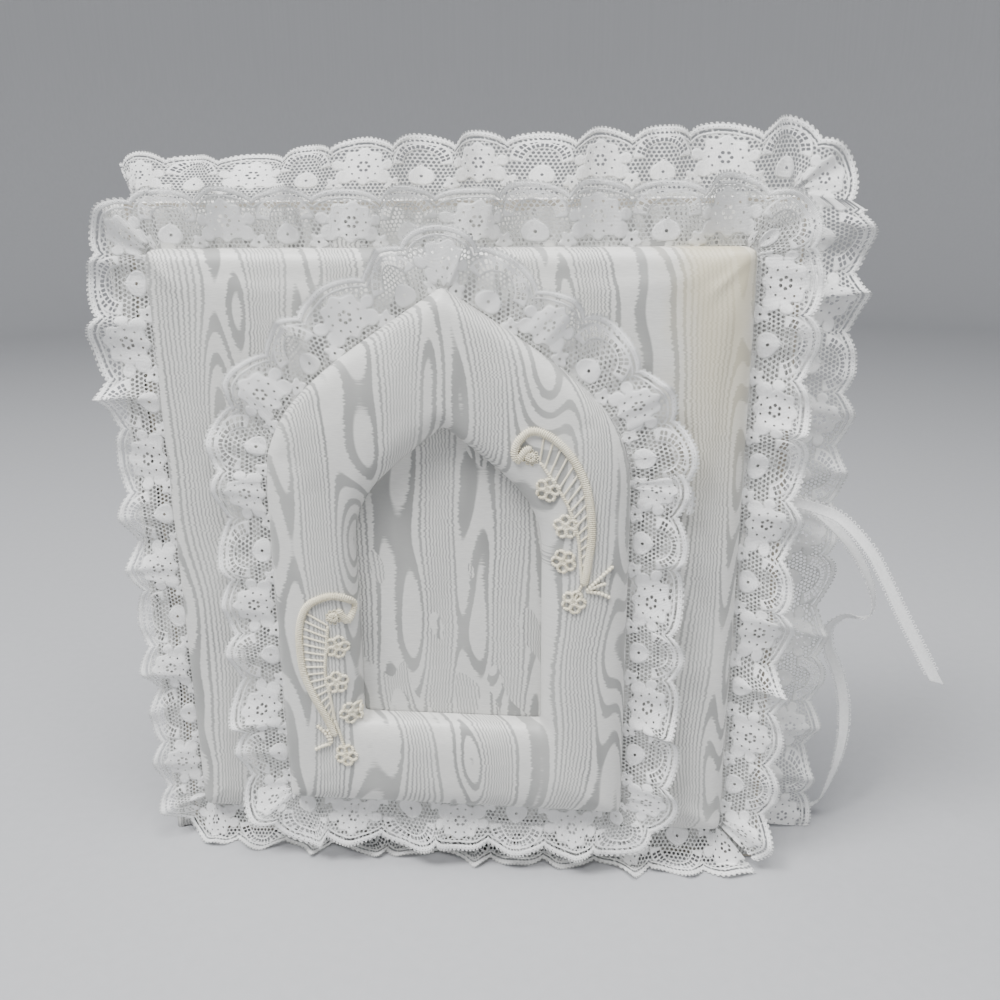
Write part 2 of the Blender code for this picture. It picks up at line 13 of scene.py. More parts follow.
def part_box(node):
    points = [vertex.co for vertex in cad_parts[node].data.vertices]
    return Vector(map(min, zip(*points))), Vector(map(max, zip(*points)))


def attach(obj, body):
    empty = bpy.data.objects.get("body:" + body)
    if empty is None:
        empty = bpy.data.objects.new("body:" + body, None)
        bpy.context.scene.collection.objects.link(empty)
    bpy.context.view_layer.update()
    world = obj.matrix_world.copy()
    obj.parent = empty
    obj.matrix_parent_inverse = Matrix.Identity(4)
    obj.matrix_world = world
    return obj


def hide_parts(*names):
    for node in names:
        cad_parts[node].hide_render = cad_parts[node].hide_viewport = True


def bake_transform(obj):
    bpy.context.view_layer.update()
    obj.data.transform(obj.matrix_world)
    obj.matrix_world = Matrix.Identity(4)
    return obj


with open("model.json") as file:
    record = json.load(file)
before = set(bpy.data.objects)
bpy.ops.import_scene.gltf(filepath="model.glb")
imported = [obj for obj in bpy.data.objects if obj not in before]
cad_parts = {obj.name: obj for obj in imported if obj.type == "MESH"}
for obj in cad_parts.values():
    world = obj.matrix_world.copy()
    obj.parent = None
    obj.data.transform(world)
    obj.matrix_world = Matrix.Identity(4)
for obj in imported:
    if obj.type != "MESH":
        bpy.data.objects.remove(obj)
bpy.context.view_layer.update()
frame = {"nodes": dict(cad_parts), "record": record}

# Camera: at seated eye height, a little to the right of the album's middle and turned back
# towards it, looking slightly down.
EYE = (0.0561, -0.4662, 0.3470)
LENS_MM = 34.43
view_right = Vector((0.9953, 0.0967, -0.0080)).normalized()
view_back = Vector((0.0950, -0.9520, 0.2910))
view_back = (view_back - view_right * view_back.dot(view_right)).normalized()
camera = bpy.data.objects.new("camera", bpy.data.cameras.new("camera"))
bpy.context.scene.collection.objects.link(camera)
turned = Matrix((view_right, view_back.cross(view_right), view_back)).transposed()
camera.matrix_world = Matrix.Translation(EYE) @ turned.to_4x4()
camera.data.lens = LENS_MM
camera.data.sensor_width = 36.0
bpy.context.scene.camera = camera


# Ribbon ties: narrow woven satin ribbon with a picot edge, one glued inside the fore edge of
# each cover. They hang loose from between the covers and end in a slanting cut.
RIBBON_W, RIBBON_THICK = 0.0068, 0.0003
PICOT_PITCH = 0.0029
PICOT_R = 0.00080
PICOT_THREAD = 0.00034
SLANT = 0.0046
CORD_POINTS = 40
ALBUM_SHIFT = np.array((-0.16065, 0.0128, 0.0))
FRONT_TIE = (
    (0.3062, -0.0088, 0.2060), (0.3160, -0.0088, 0.2055), (0.3290, -0.0090, 0.2025),
    (0.3425, -0.0098, 0.1965), (0.3570, -0.0108, 0.1812), (0.3665, -0.0115, 0.1650),
    (0.3750, -0.0120, 0.1491), (0.3860, -0.0126, 0.1295), (0.3969, -0.0130, 0.1103),
)
BACK_TIE = (
    (0.3062, 0.0088, 0.2050), (0.3170, 0.0070, 0.2045), (0.3300, 0.0030, 0.1990),
    (0.3430, 0.0000, 0.1880), (0.3550, -0.0010, 0.1730), (0.3640, 0.0005, 0.1540),
    (0.3660, 0.0060, 0.1400), (0.3640, 0.0150, 0.1340), (0.3570, 0.0240, 0.1300),
    (0.3510, 0.0300, 0.1200), (0.3530, 0.0320, 0.1060), (0.3590, 0.0310, 0.0920),
    (0.3630, 0.0290, 0.0760), (0.3640, 0.0260, 0.0590), (0.3620, 0.0240, 0.0410),
    (0.3580, 0.0240, 0.0240), (0.3540, 0.0260, 0.0110), (0.3460, 0.0300, 0.0045),
    (0.3340, 0.0340, 0.0037),
)


def smooth_route(points, count):
    """Evenly spaced points on the smooth curve through a route's own points, and its length."""
    route = np.array(points, float)
    padded = np.vstack([route[:1], route, route[-1:]])
    fine = []
    for i in range(len(route) - 1):
        p0, p1, p2, p3 = padded[i:i + 4]
        for t in np.arange(16) / 16:
            fine.append(0.5 * (2 * p1 + (p2 - p0) * t + (2 * p0 - 5 * p1 + 4 * p2 - p3) * t * t
                               + (3 * p1 - p0 - 3 * p2 + p3) * t ** 3))
    fine = np.array(fine + [route[-1]])
    steps = np.linalg.norm(np.diff(fine, axis=0), axis=1)
    along = np.concatenate([[0.0], np.cumsum(steps)])
    wanted = np.linspace(0.0, along[-1], count)
    spaced = np.column_stack([np.interp(wanted, along, fine[:, k]) for k in range(3)])
    return spaced, float(along[-1])


def unit(vectors):
    return vectors / np.maximum(np.linalg.norm(vectors, axis=-1, keepdims=True), 1e-12)


def make_piece(name, points, groups, material, smooth=True):
    """A piece from points in metres and groups of faces, each an array of point numbers."""
    mesh = bpy.data.meshes.new(name)
    groups = [np.asarray(group, np.int32) for group in groups if len(group)]
    loops = np.concatenate([group.ravel() for group in groups])
    sizes = np.concatenate([np.full(len(group), group.shape[1]) for group in groups])
    mesh.vertices.add(len(points))
    mesh.vertices.foreach_set("co", np.asarray(points, np.float32).ravel())
    mesh.loops.add(len(loops))
    mesh.loops.foreach_set("vertex_index", loops)
    mesh.polygons.add(len(sizes))
    mesh.polygons.foreach_set("loop_start", np.concatenate([[0], np.cumsum(sizes)[:-1]]))
    mesh.polygons.foreach_set("use_smooth", np.full(len(sizes), smooth))
    mesh.update(calc_edges=True)
    mesh.validate()
    mesh.materials.append(material)
    piece = bpy.data.objects.new(name, mesh)
    bpy.context.scene.collection.objects.link(piece)
    return piece


def grid_faces(rows, columns, first=0, closed=False):
    """Quads of a grid of points; a closed grid joins its last column to its first."""
    across = columns if closed else columns - 1
    row, column = np.meshgrid(np.arange(rows - 1), np.arange(across), indexing="ij")
    after = (column + 1) % columns
    faces = [row * columns + column, row * columns + after,
             (row + 1) * columns + after, (row + 1) * columns + column]
    return first + np.stack([face.ravel() for face in faces], axis=1)


class Finish:
    """A socket of a finish's nodes. Arithmetic on it adds Math nodes."""

    def __init__(self, tree, socket):
        self.tree = tree
        self.socket = socket

    def node(self, kind, settings, sockets, output=0):
        """Adds a node: its settings first, then the values or links of its sockets."""
        new = self.tree.nodes.new("ShaderNode" + kind)
        for name, value in settings.items():
            setattr(new, name, value)
        for key, value in sockets.items():
            if isinstance(value, Finish):
                self.tree.links.new(value.socket, new.inputs[key])
            else:
                new.inputs[key].default_value = value
        return Finish(self.tree, new.outputs[output])

    def maths(self, operation, *others):
        return self.node("Math", {"operation": operation}, dict(enumerate((self, *others))))

    def __add__(self, other):
        return self.maths("ADD", other)

    def __sub__(self, other):
        return self.maths("SUBTRACT", other)

    def __rsub__(self, other):
        return self * -1.0 + other

    def __mul__(self, other):
        return self.maths("MULTIPLY", other)

    __radd__ = __add__
    __rmul__ = __mul__

    def ramp(self, low, high):
        """0 below low, 1 above high, smooth between."""
        return self.node("MapRange", {"interpolation_type": "SMOOTHSTEP"},
                         {0: self, 1: low, 2: high, 3: 0.0, 4: 1.0})

    def between(self, first, second):
        """A colour that goes from first to second as this goes from 0 to 1."""
        return self.node("Mix", {"data_type": "RGBA"}, {0: self, 6: first, 7: second}, 2)

    def at(self, x, y, z):
        return self.node("CombineXYZ", {}, {0: x, 1: y, 2: z})

    def noise(self, detail=2.0, roughness=0.5):
        return self.node("TexNoise", {}, {"Vector": self, "Scale": 1.0, "Detail": detail,
                                          "Roughness": roughness})

    def bump(self, depth, strength=1.0):
        """A normal from this height, depth metres from 0 to 1."""
        return self.node("Bump", {}, {"Height": self, "Distance": depth, "Strength": strength})


def new_finish(name, roughness, sheen=0.0, metallic=0.0):
    """A Principled material; gives it, its shader, and x, y and z in metres at rest."""
    material = bpy.data.materials.new(name)
    material.use_nodes = True
    tree = material.node_tree
    shader = tree.nodes["Principled BSDF"]
    shader.inputs["Roughness"].default_value = roughness
    shader.inputs["Metallic"].default_value = metallic
    shader.inputs["Sheen Weight"].default_value = sheen
    place = tree.nodes.new("ShaderNodeTexCoord")
    axes = tree.nodes.new("ShaderNodeSeparateXYZ")
    tree.links.new(place.outputs["Object"], axes.inputs[0])
    return material, shader, [Finish(tree, axes.outputs[k]) for k in range(3)]


def finish_with(shader, **links):
    """Links patterns to the shader: colour, roughness, normal."""
    names = {"colour": "Base Color", "roughness": "Roughness", "normal": "Normal"}
    for key, value in links.items():
        value.tree.links.new(value.socket, shader.inputs[names[key]])


satin, shader, (x, y, z) = new_finish("ribbon_satin", 0.32, sheen=0.2)
grain = x.at(x * 900, y * 900, z * 900).noise()
SATIN_SHADE, SATIN_SHINE = (0.84, 0.84, 0.83, 1), (0.92, 0.92, 0.91, 1)
finish_with(shader, colour=grain.ramp(0.3, 0.7).between(SATIN_SHADE, SATIN_SHINE),
            normal=grain.bump(0.00012, 0.5))


def make_tie(name, route, node, body, twists):
    """A ribbon along its route; twists turn its face, in degrees, from exit to end."""
    centre, length = smooth_route(np.array(route) + ALBUM_SHIFT, 200)
    tangent = unit(np.gradient(centre, axis=0))
    share = np.linspace(0.0, 1.0, len(centre))
    flat = unit(np.cross(tangent, (0.0, 1.0, 0.0)))
    up = np.cross(flat, tangent)
    angle = np.radians(np.interp(share, np.linspace(0, 1, len(twists)), twists))[:, None]
    across = flat * np.cos(angle) + up * np.sin(angle)
    face = np.cross(across, tangent)
    side = np.linspace(-1.0, 1.0, 9)
    half = RIBBON_W / 2 - PICOT_R
    cut = np.clip((share - 0.93) / 0.07, 0, 1)[:, None] * side[None, :] * SLANT / 2
    spots = (centre[:, None] + across[:, None] * (side * half)[None, :, None]
             + tangent[:, None] * cut[..., None]
             + face[:, None] * (0.00035 * (1 - side ** 2))[None, :, None])
    points = [spots.reshape(-1, 3)]
    faces = [grid_faces(len(centre), len(side))]
    total = len(points[0])
    turn = np.linspace(0, 2 * math.pi, 10, endpoint=False)
    for edge in (-1, 1):
        for place in np.arange(PICOT_PITCH, length - SLANT, PICOT_PITCH) / length:
            k = int(place * (len(centre) - 1))
            middle = centre[k] + across[k] * edge * (half + PICOT_R * 0.55)
            for radius in (PICOT_R + PICOT_THREAD / 2, PICOT_R - PICOT_THREAD / 2):
                ring = np.outer(np.cos(turn), across[k]) + np.outer(np.sin(turn), tangent[k])
                points.append(middle + ring * radius)
            faces.append(grid_faces(2, len(turn), total, closed=True))
            total += 2 * len(turn)
    tie = make_piece(name, np.vstack(points), faces, satin)
    thick = tie.modifiers.new("ribbon_thickness", "SOLIDIFY")
    thick.thickness = RIBBON_THICK
    thick.offset = 0.0
    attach(tie, body)
    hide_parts(node)
    path, _ = smooth_route(np.array(route) + ALBUM_SHIFT, CORD_POINTS)
    return tie


make_tie("front_ribbon", FRONT_TIE, "front_ribbon_tie", "front_cover", (0, 25, 12, -8))
make_tie("back_ribbon", BACK_TIE, "back_ribbon_tie", "back_cover", (0, 30, 60, 20, -10, 40, 85))


# Moire taffeta: a ribbed ivory cloth pressed so that its ribs flatten in a wood-grain
# watermark. Each cut of cloth has its own stretch of the pattern. The arch and the panel have
# the long closed ovals where the watermark turns.
MOIRE_LIGHT = (0.625, 0.622, 0.595, 1)
MOIRE_BRIGHT = (0.720, 0.715, 0.685, 1)
MOIRE_DARK = (0.270, 0.273, 0.264, 1)
MOIRE_STAINED = (0.64, 0.57, 0.38, 1)
LINES_PER_M = 240          # watermark lines to a metre, on average
COLUMN = 0.041             # from one column of ovals to the next
TURNING = 1.45             # above 1, the lines turn back in a column and close into ovals
FEATHER = 0.0030


def make_moire(name, cut, ovals=(), stain=None):
    """cut shifts the pattern; ovals are (x, z, half width, half height, lines) in metres."""
    material, shader, (x, y, z) = new_finish(name, 0.42, sheen=0.15)
    x = x + y * 0.8
    feather = x.at(x * 110, cut, z * 1300).noise(2.0, 0.6)
    x = x + (feather - 0.5) * FEATHER
    wander = x.at(x * 15, cut, z * 5).noise(1.0, 0.4)
    place = x + (wander - 0.5) * 0.034 + cut * 0.01
    turn = (place * (2 * math.pi / COLUMN)).maths("SINE") * (TURNING * COLUMN / (2 * math.pi))
    grade = (place - turn) * LINES_PER_M + x.at(x * 24, cut + 5, z * 12).noise(1.0, 0.4) * 5.0
    for centre_x, centre_z, half_w, half_h, lines in ovals:
        across = (x - centre_x) * (1 / half_w)
        up = (z - centre_z) * (1 / half_h)
        grade = grade + ((across * across + up * up) * -1.0).maths("EXPONENT") * lines
    ribs = x.at(x * 260, cut, z * 2900).noise(1.0)
    line = (grade * (2 * math.pi)).maths("SINE") + (feather - 0.5) * 1.1
    dark = line.ramp(0.05, 0.55)
    patchy = x.at(x * 45, cut, z * 18).noise()
    depth = dark * (patchy * 0.8 + 0.42)
    colour = depth.between(ribs.ramp(0.2, 0.8).between(MOIRE_LIGHT, MOIRE_BRIGHT), MOIRE_DARK)
    if stain:
        colour = stain(x, z).between(colour, MOIRE_STAINED)
    finish_with(shader, colour=colour, roughness=dark * 0.12 + 0.38,
                normal=(ribs * 0.6 + dark * 0.4).bump(0.00006, 0.7))
    return material


# The padded front panel: greyboard, an 8 mm layer of batting and moire drawn tight over both
# and turned in behind. It crowns a little, and its upper right corner has yellowed with age.
def cut_sheet(xs, zs, depth):
    """Points and faces of the part of a flat grid where depth is above 0, edges cut exactly."""
    inside = depth > 0
    rows, columns = depth.shape
    grid_x, grid_z = np.meshgrid(xs, zs)
    corner = np.full((rows, columns), -1)
    corner[inside] = np.arange(inside.sum())
    points = [np.column_stack([grid_x[inside], grid_z[inside]])]
    total = len(points[0])
    edges = []
    for step in ((0, 1), (1, 0)):
        near = (slice(0, rows - step[0]), slice(0, columns - step[1]))
        far = (slice(step[0], rows), slice(step[1], columns))
        crossed = inside[near] != inside[far]
        share = depth[near][crossed] / (depth[near][crossed] - depth[far][crossed])
        x = grid_x[near][crossed] * (1 - share) + grid_x[far][crossed] * share
        z = grid_z[near][crossed] * (1 - share) + grid_z[far][crossed] * share
        number = np.full(crossed.shape, -1)
        number[crossed] = total + np.arange(crossed.sum())
        points.append(np.column_stack([x, z]))
        total += len(x)
        edges.append(number)
    level, upright = edges
    corners = (corner[:-1, :-1], corner[:-1, 1:], corner[1:, 1:], corner[1:, :-1])
    between = (level[:-1], upright[:, 1:], level[1:], upright[:, :-1])
    pattern = sum((corners[k] >= 0).astype(int) << k for k in range(4))
    groups = []
    for mask in range(1, 16):
        cells = pattern == mask
        loop = []
        for k in range(4):
            here, after = mask >> k & 1, mask >> (k + 1) % 4 & 1
            if here:
                loop.append(corners[k][cells])
            if here != after:
                loop.append(between[k][cells])
        groups.append(np.stack(loop, axis=1))
    return np.vstack(points), groups


def rim_edges(groups):
    """The edges that only one face has, each as (from, to) in that face's order."""
    pairs = np.vstack([np.column_stack([group.ravel(), np.roll(group, -1, axis=1).ravel()])
                       for group in groups if len(group)])
    _, where, counts = np.unique(np.sort(pairs, axis=1), axis=0, return_index=True,
                                 return_counts=True)
    return pairs[where[counts == 1]]


def add_walls(points, groups, depths):
    """Turns a face's rim back to each of these y values in turn."""
    rim = rim_edges(groups)
    old = np.unique(rim)
    place = {number: k for k, number in enumerate(old)}
    ring = np.array([[place[a], place[b]] for a, b in rim])
    before = old[ring]
    for depth in depths:
        new = points[old].copy()
        new[:, 1] = depth
        after = len(points) + ring
        points = np.vstack([points, new])
        groups = groups + [np.column_stack([before[:, 1], before[:, 0], after[:, 0], after[:, 1]])]
        before = after
    return points, groups


def from_outline(points, outline):
    """Distance of each (x, z) from a closed outline, positive inside."""
    points = np.asarray(points, float)
    nearest = np.full(len(points), np.inf)
    inside = np.zeros(len(points), bool)
    for start, end in zip(outline, np.roll(outline, -1, axis=0)):
        run = end - start
        share = np.clip(((points - start) @ run) / (run @ run), 0, 1)
        away = np.linalg.norm(points - start - share[:, None] * run, axis=1)
        nearest = np.minimum(nearest, away)
        spans = (start[1] > points[:, 1]) != (end[1] > points[:, 1])
        if start[1] != end[1]:
            x = start[0] + (points[:, 1] - start[1]) / (end[1] - start[1]) * run[0]
            inside ^= spans & (points[:, 0] < x)
    return np.where(inside, nearest, -nearest)


def rounded_box(points, low, high, radius):
    """Distance of each (x, z) from a rounded rectangle, positive inside."""
    middle, half = (low + high) / 2, (high - low) / 2
    out = np.abs(points - middle) - half + radius
    return radius - np.linalg.norm(np.maximum(out, 0), axis=1) - np.minimum(out.max(axis=1), 0)


def pad_height(depth, wall, height, rounding):
    """A pad's height above its back, from the distance in from its edge."""
    share = np.clip(depth / rounding, 0, 1)
    return wall + (height - wall) * np.sqrt(1 - (1 - share) ** 2)


def plump(piece, held, pressure, cap):
    """Cloth drawn over batting: inflates the face, held at its rim, by no more than cap."""
    rest = np.array([vertex.co for vertex in piece.data.vertices])
    group = piece.vertex_groups.new(name="held")
    group.add([int(k) for k in np.flatnonzero(held)], 1.0, "REPLACE")
    cloth = piece.modifiers.new("batting_pressure", "CLOTH")
    cloth.settings.quality = 4
    cloth.settings.mass = 0.15
    cloth.settings.tension_stiffness = 12
    cloth.settings.compression_stiffness = 12
    cloth.settings.bending_stiffness = 0.4
    cloth.settings.use_pressure = True
    cloth.settings.uniform_pressure_force = pressure
    cloth.settings.effector_weights.gravity = 0
    cloth.settings.vertex_group_mass = "held"
    for step in range(1, SIM_FRAMES + 1):
        bpy.context.scene.frame_set(step)
    graph = bpy.context.evaluated_depsgraph_get()
    moved = np.array([vertex.co for vertex in piece.evaluated_get(graph).data.vertices])
    piece.modifiers.remove(cloth)
    bpy.context.scene.frame_set(1)
    change = moved - rest
    size = np.linalg.norm(change, axis=1, keepdims=True)
    change *= np.minimum(1.0, cap / np.maximum(size, 1e-9))
    piece.data.vertices.foreach_set("co", (rest + change).ravel())
    piece.data.update()


SIM_FRAMES = 20
panel_low, panel_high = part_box("panel_cloth")
CORNER_R = 0.0055
PANEL_STEP = 0.003
PANEL_ROUNDING = 0.0085
PANEL_WALL = 0.0055
PANEL_SWELL = 0.0010
HAND_RIPPLE = 0.00022      # unevenness of batting laid by hand


def panel_point(x, z):
    """World x and z of a place measured from the panel's lower left corner."""
    return panel_low.x + x, panel_low.z + z


def aged(x, z):
    """Where the panel has yellowed: a band down from its top edge, and a corner."""
    stain_x, stain_z = panel_point(0.262, 0.300)
    wobble = x.at(x * 55, 3.0, z * 30).noise()
    across = (x - stain_x).maths("ABSOLUTE") + (wobble - 0.5) * 0.030
    band = 1 - across.ramp(0.006, 0.034)
    high = (z + (wobble - 0.5) * 0.05).ramp(stain_z - 0.150, stain_z)
    return band * (high * 0.75)


def make_pad(name, field, box_low, box_high, step, back, side, shape, material, crown=0.0,
             turned_in=0.0):
    """A padded face over a field of depths; shape is (wall, height, rounding).

    turned_in is how far its cloth is turned in behind, drawn as a flat hem."""
    wall, height, rounding = shape
    xs = np.arange(box_low[0] - step, box_high[0] + 1.5 * step, step)
    zs = np.arange(box_low[1] - step, box_high[1] + 1.5 * step, step)
    grid = np.stack(np.meshgrid(xs, zs), axis=-1)
    flat, groups = cut_sheet(xs, zs, field(grid.reshape(-1, 2)).reshape(len(zs), len(xs)))
    depth = field(flat)
    rise = pad_height(np.maximum(depth, 0), wall, height, rounding)
    reach = (flat - (np.add(box_low, box_high) / 2)) / (np.subtract(box_high, box_low) / 2)
    rise += crown * np.clip(1 - reach ** 2, 0, 1).prod(axis=1)
    hand = (np.sin(flat[:, 0] * 131 + 1.7) * np.sin(flat[:, 1] * 97 + 0.4)
            + 0.6 * np.sin(flat[:, 0] * 263 + flat[:, 1] * 71))
    rise += HAND_RIPPLE * hand * np.clip(depth / rounding, 0, 1)
    points = np.column_stack([flat[:, 0], back + side * rise, flat[:, 1]])
    points, groups = add_walls(points, groups, (back + side * wall * 0.5, back))
    if turned_in:
        count = len(points)
        points, groups = add_walls(points, groups, (back - side * HEM_LIFT,))
        hem = points[count:, ::2]
        nudge = np.eye(2) * step / 10
        inward = np.column_stack([field(hem + by) - field(hem - by) for by in nudge])
        points[count:, ::2] += unit(inward) * turned_in
    if side > 0:
        groups = [group[:, ::-1] for group in groups]
    pad = make_piece(name, points, groups, material)
    held = np.ones(len(points), bool)
    held[:len(flat)] = depth < step * 0.2
    plump(pad, held, PRESSURE, PUFF_CAP)
    smooth = pad.modifiers.new("smooth", "SUBSURF")
    smooth.levels = smooth.render_levels = 1
    return pad


def box_field(low, high, radius):
    return lambda points: rounded_box(points, np.array(low), np.array(high), radius)


HEM_LIFT = 0.00015
PRESSURE = 3.0
PUFF_CAP = 0.0012
PANEL_OVALS = (
    (*panel_point(0.016, 0.226), 0.012, 0.050, 3.4),
    (*panel_point(0.277, 0.200), 0.012, 0.060, 3.6),
    (*panel_point(0.277, 0.032), 0.013, 0.034, 3.2),
    (*panel_point(0.030, 0.060), 0.012, 0.040, -3.0),
)
panel_moire = make_moire("moire_panel", 1.3, PANEL_OVALS, aged)
low, high = (panel_low.x, panel_low.z), (panel_high.x, panel_high.z)
panel = make_pad("padded_panel", box_field(low, high, CORNER_R), low, high, PANEL_STEP,
                 panel_high.y, -1, (PANEL_WALL, panel_high.y - panel_low.y - PANEL_SWELL,
                                    PANEL_ROUNDING), panel_moire, PANEL_SWELL)
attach(panel, "front_cover")
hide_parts("panel_cloth", "panel_padding")


# The picture frame: a pointed arch of greyboard with thick batting, covered in moire that is
# snipped and turned in through its window. Its faces roll evenly down to both edges.
ARCH_X = 0.146
ARCH = (0.0895, 0.018, 0.195, 0.291)
WINDOW = (0.047, 0.0695, 0.165, 0.226)
SHOULDER_RISE, HEAD_RISE, HEAD_IN = 0.42, 0.60, 0.66
ARCH_STEP = 0.0024
ARCH_WALL = 0.0050
ARCH_ROUNDING = 0.0125


def pointed_arch(half_w, base, spring, apex, steps=24):
    """Anticlockwise outline of a pointed arch, in world x and z, from its lower left corner."""
    t = np.linspace(0, 1, steps + 1)
    first, second, third, last = (1 - t) ** 3, 3 * t * (1 - t) ** 2, 3 * t * t * (1 - t), t ** 3
    x = (first + second + third * HEAD_IN) * half_w
    z = spring + (apex - spring) * (second * SHOULDER_RISE + third * HEAD_RISE + last)
    right = np.column_stack([x, z])
    left = (right * (-1, 1))[-2::-1]
    outline = np.vstack([[(-half_w, base), (half_w, base)], right, left])
    return outline + panel_point(ARCH_X, 0.0)


arch_low, arch_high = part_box("arch_cloth")
arch_outline = pointed_arch(*ARCH)
window_outline = pointed_arch(*WINDOW)


def arch_depth(points):
    """Distance in from the arch's edge or its window's, whichever is nearer."""
    return np.minimum(from_outline(points, arch_outline), -from_outline(points, window_outline))


ARCH_OVALS = (
    (*panel_point(0.0815, 0.170), 0.009, 0.026, 3.0),
    (*panel_point(0.1878, 0.109), 0.011, 0.028, 3.0),
    (*panel_point(0.1715, 0.254), 0.012, 0.030, 3.2),
    (*panel_point(0.1100, 0.240), 0.011, 0.034, 2.8),
    (*panel_point(0.2120, 0.121), 0.011, 0.040, 3.2),
    (*panel_point(0.130, 0.046), 0.012, 0.026, -2.6),
)
arch_moire = make_moire("moire_arch", 7.9, ARCH_OVALS)
low, high = (arch_low.x, arch_low.z), (arch_high.x, arch_high.z)
arch = make_pad("padded_arch", arch_depth, low, high, ARCH_STEP, arch_high.y, -1,
                (ARCH_WALL, arch_high.y - arch_low.y, ARCH_ROUNDING), arch_moire)
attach(arch, "front_cover")
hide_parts("arch_cloth", "arch_padding")

# The card behind the window is covered in the same moire, lying flat.
CARD_OVALS = (
    (*panel_point(0.150, 0.142), 0.011, 0.062, 3.8),
    (*panel_point(0.184, 0.100), 0.009, 0.024, 3.0),
    (*panel_point(0.147, 0.205), 0.009, 0.022, -2.6),
    (*panel_point(0.113, 0.095), 0.009, 0.030, 2.2),
)
card_moire = make_moire("moire_card", 4.4, CARD_OVALS)
frame["nodes"]["photo_backing_card"].material_slots[0].material = card_moire


# Covers and spine: greyboard wrapped in plain moire, the back one over a thin layer of batting.
# A strip of the same cloth bridges each joint.
COVER_STEP = 0.004
COVER_CORNER_R = 0.0045
TURNED_IN = 0.0062
COVER_ROUNDING, BACK_ROUNDING, BACK_SWELL = 0.0022, 0.0075, 0.0006
JOINT_GROOVE = 0.0009
cover_moire = make_moire("moire_covers", 12.6)
front_low, front_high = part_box("front_cover_cloth")
back_low, back_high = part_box("back_cover_cloth")
low, high = (front_low.x, front_low.z), (front_high.x, front_high.z)
thick = front_high.y - front_low.y
cover = make_pad("front_cover_face", box_field(low, high, COVER_CORNER_R), low, high, COVER_STEP,
                 front_high.y, -1, (thick * 0.45, thick, COVER_ROUNDING), cover_moire,
                 turned_in=TURNED_IN)
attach(cover, "front_cover")
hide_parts("front_cover_cloth")
thick = back_high.y - back_low.y
cover = make_pad("back_cover_pad", box_field(low, high, COVER_CORNER_R), low, high, COVER_STEP,
                 back_low.y, 1, (thick * 0.5, thick - BACK_SWELL, BACK_ROUNDING), cover_moire,
                 BACK_SWELL, turned_in=TURNED_IN)
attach(cover, "back_cover")
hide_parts("back_cover_cloth", "back_cover_padding")


def make_joint(name, node, side):
    """Cloth across a joint, from inside the spine's turn-in to the cover's edge."""
    low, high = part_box(node)
    x = np.linspace(low.x - 0.0002, high.x + 0.0002, 13)
    z = np.linspace(low.z, high.z, 60)
    grid_x, grid_z = np.meshgrid(x, z)
    across = (grid_x - low.x) / (high.x - low.x)
    groove = JOINT_GROOVE * np.sin(np.pi * np.clip(across, 0, 1)) ** 2
    grid_y = (low.y + high.y) / 2 - side * groove
    points = np.stack([grid_x, grid_y, grid_z], axis=-1).reshape(-1, 3)
    joint = make_piece(name, points, [grid_faces(len(z), len(x))], cover_moire)
    thick = joint.modifiers.new("cloth_thickness", "SOLIDIFY")
    thick.thickness = high.y - low.y
    thick.offset = 0.0
    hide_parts(node)
    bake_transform(joint)


make_joint("front_joint", "front_joint_cloth", -1)
make_joint("back_joint", "back_joint_cloth", 1)

# The spine's cloth wraps a narrow board and rounds over both its long edges.
spine_low, spine_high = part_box("spine_cloth")
SPINE_ROUND, SPINE_THICK, SPINE_TURN_IN = 0.0022, 0.0005, 0.0006
turn = np.radians(np.linspace(0, 90, 7))
near = [(spine_high.x, spine_low.y + SPINE_TURN_IN), (spine_high.x, spine_low.y)]
near += [(spine_low.x + SPINE_ROUND * (1 - math.sin(a)),
          spine_low.y + SPINE_ROUND * (1 - math.cos(a))) for a in turn]
flat_y = np.linspace(spine_low.y + SPINE_ROUND, spine_high.y - SPINE_ROUND, 9)
middle_y = (spine_low.y + spine_high.y) / 2
far = [(x, 2 * middle_y - y) for x, y in reversed(near)]
section = np.array(near + [(spine_low.x, y) for y in flat_y[1:-1]] + far)
heights = np.linspace(spine_low.z, spine_high.z, 80)
points = np.column_stack([np.tile(section, (len(heights), 1)), np.repeat(heights, len(section))])
spine = make_piece("spine_cloth_wrap", points, [grid_faces(len(heights), len(section))],
                   cover_moire)
thick = spine.modifiers.new("cloth_thickness", "SOLIDIFY")
thick.thickness = SPINE_THICK
thick.offset = -1.0
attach(spine, "binding")
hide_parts("spine_cloth")


# Inside: greyboards, endpapers, and eight stiff leaves clamped between aluminium strips by
# three screw posts. The leaves are cream board with a fine tooth.
def mottled(name, first, second, scale, roughness, depth, metallic=0.0, stretch=1.0):
    """A plain sheet material with a fine grain between two near colours."""
    material, shader, (x, y, z) = new_finish(name, roughness, metallic=metallic)
    grain = x.at(x * scale, y * scale, z * (scale * stretch)).noise(4.0, 0.6)
    cloud = x.at(x * 14, y * 14, z * 14).noise()
    colour = (grain * 0.6 + cloud * 0.4).ramp(0.3, 0.7).between(first, second)
    finish_with(shader, colour=colour, roughness=grain * 0.15 + (roughness - 0.07),
                normal=grain.bump(depth, 0.6))
    return material


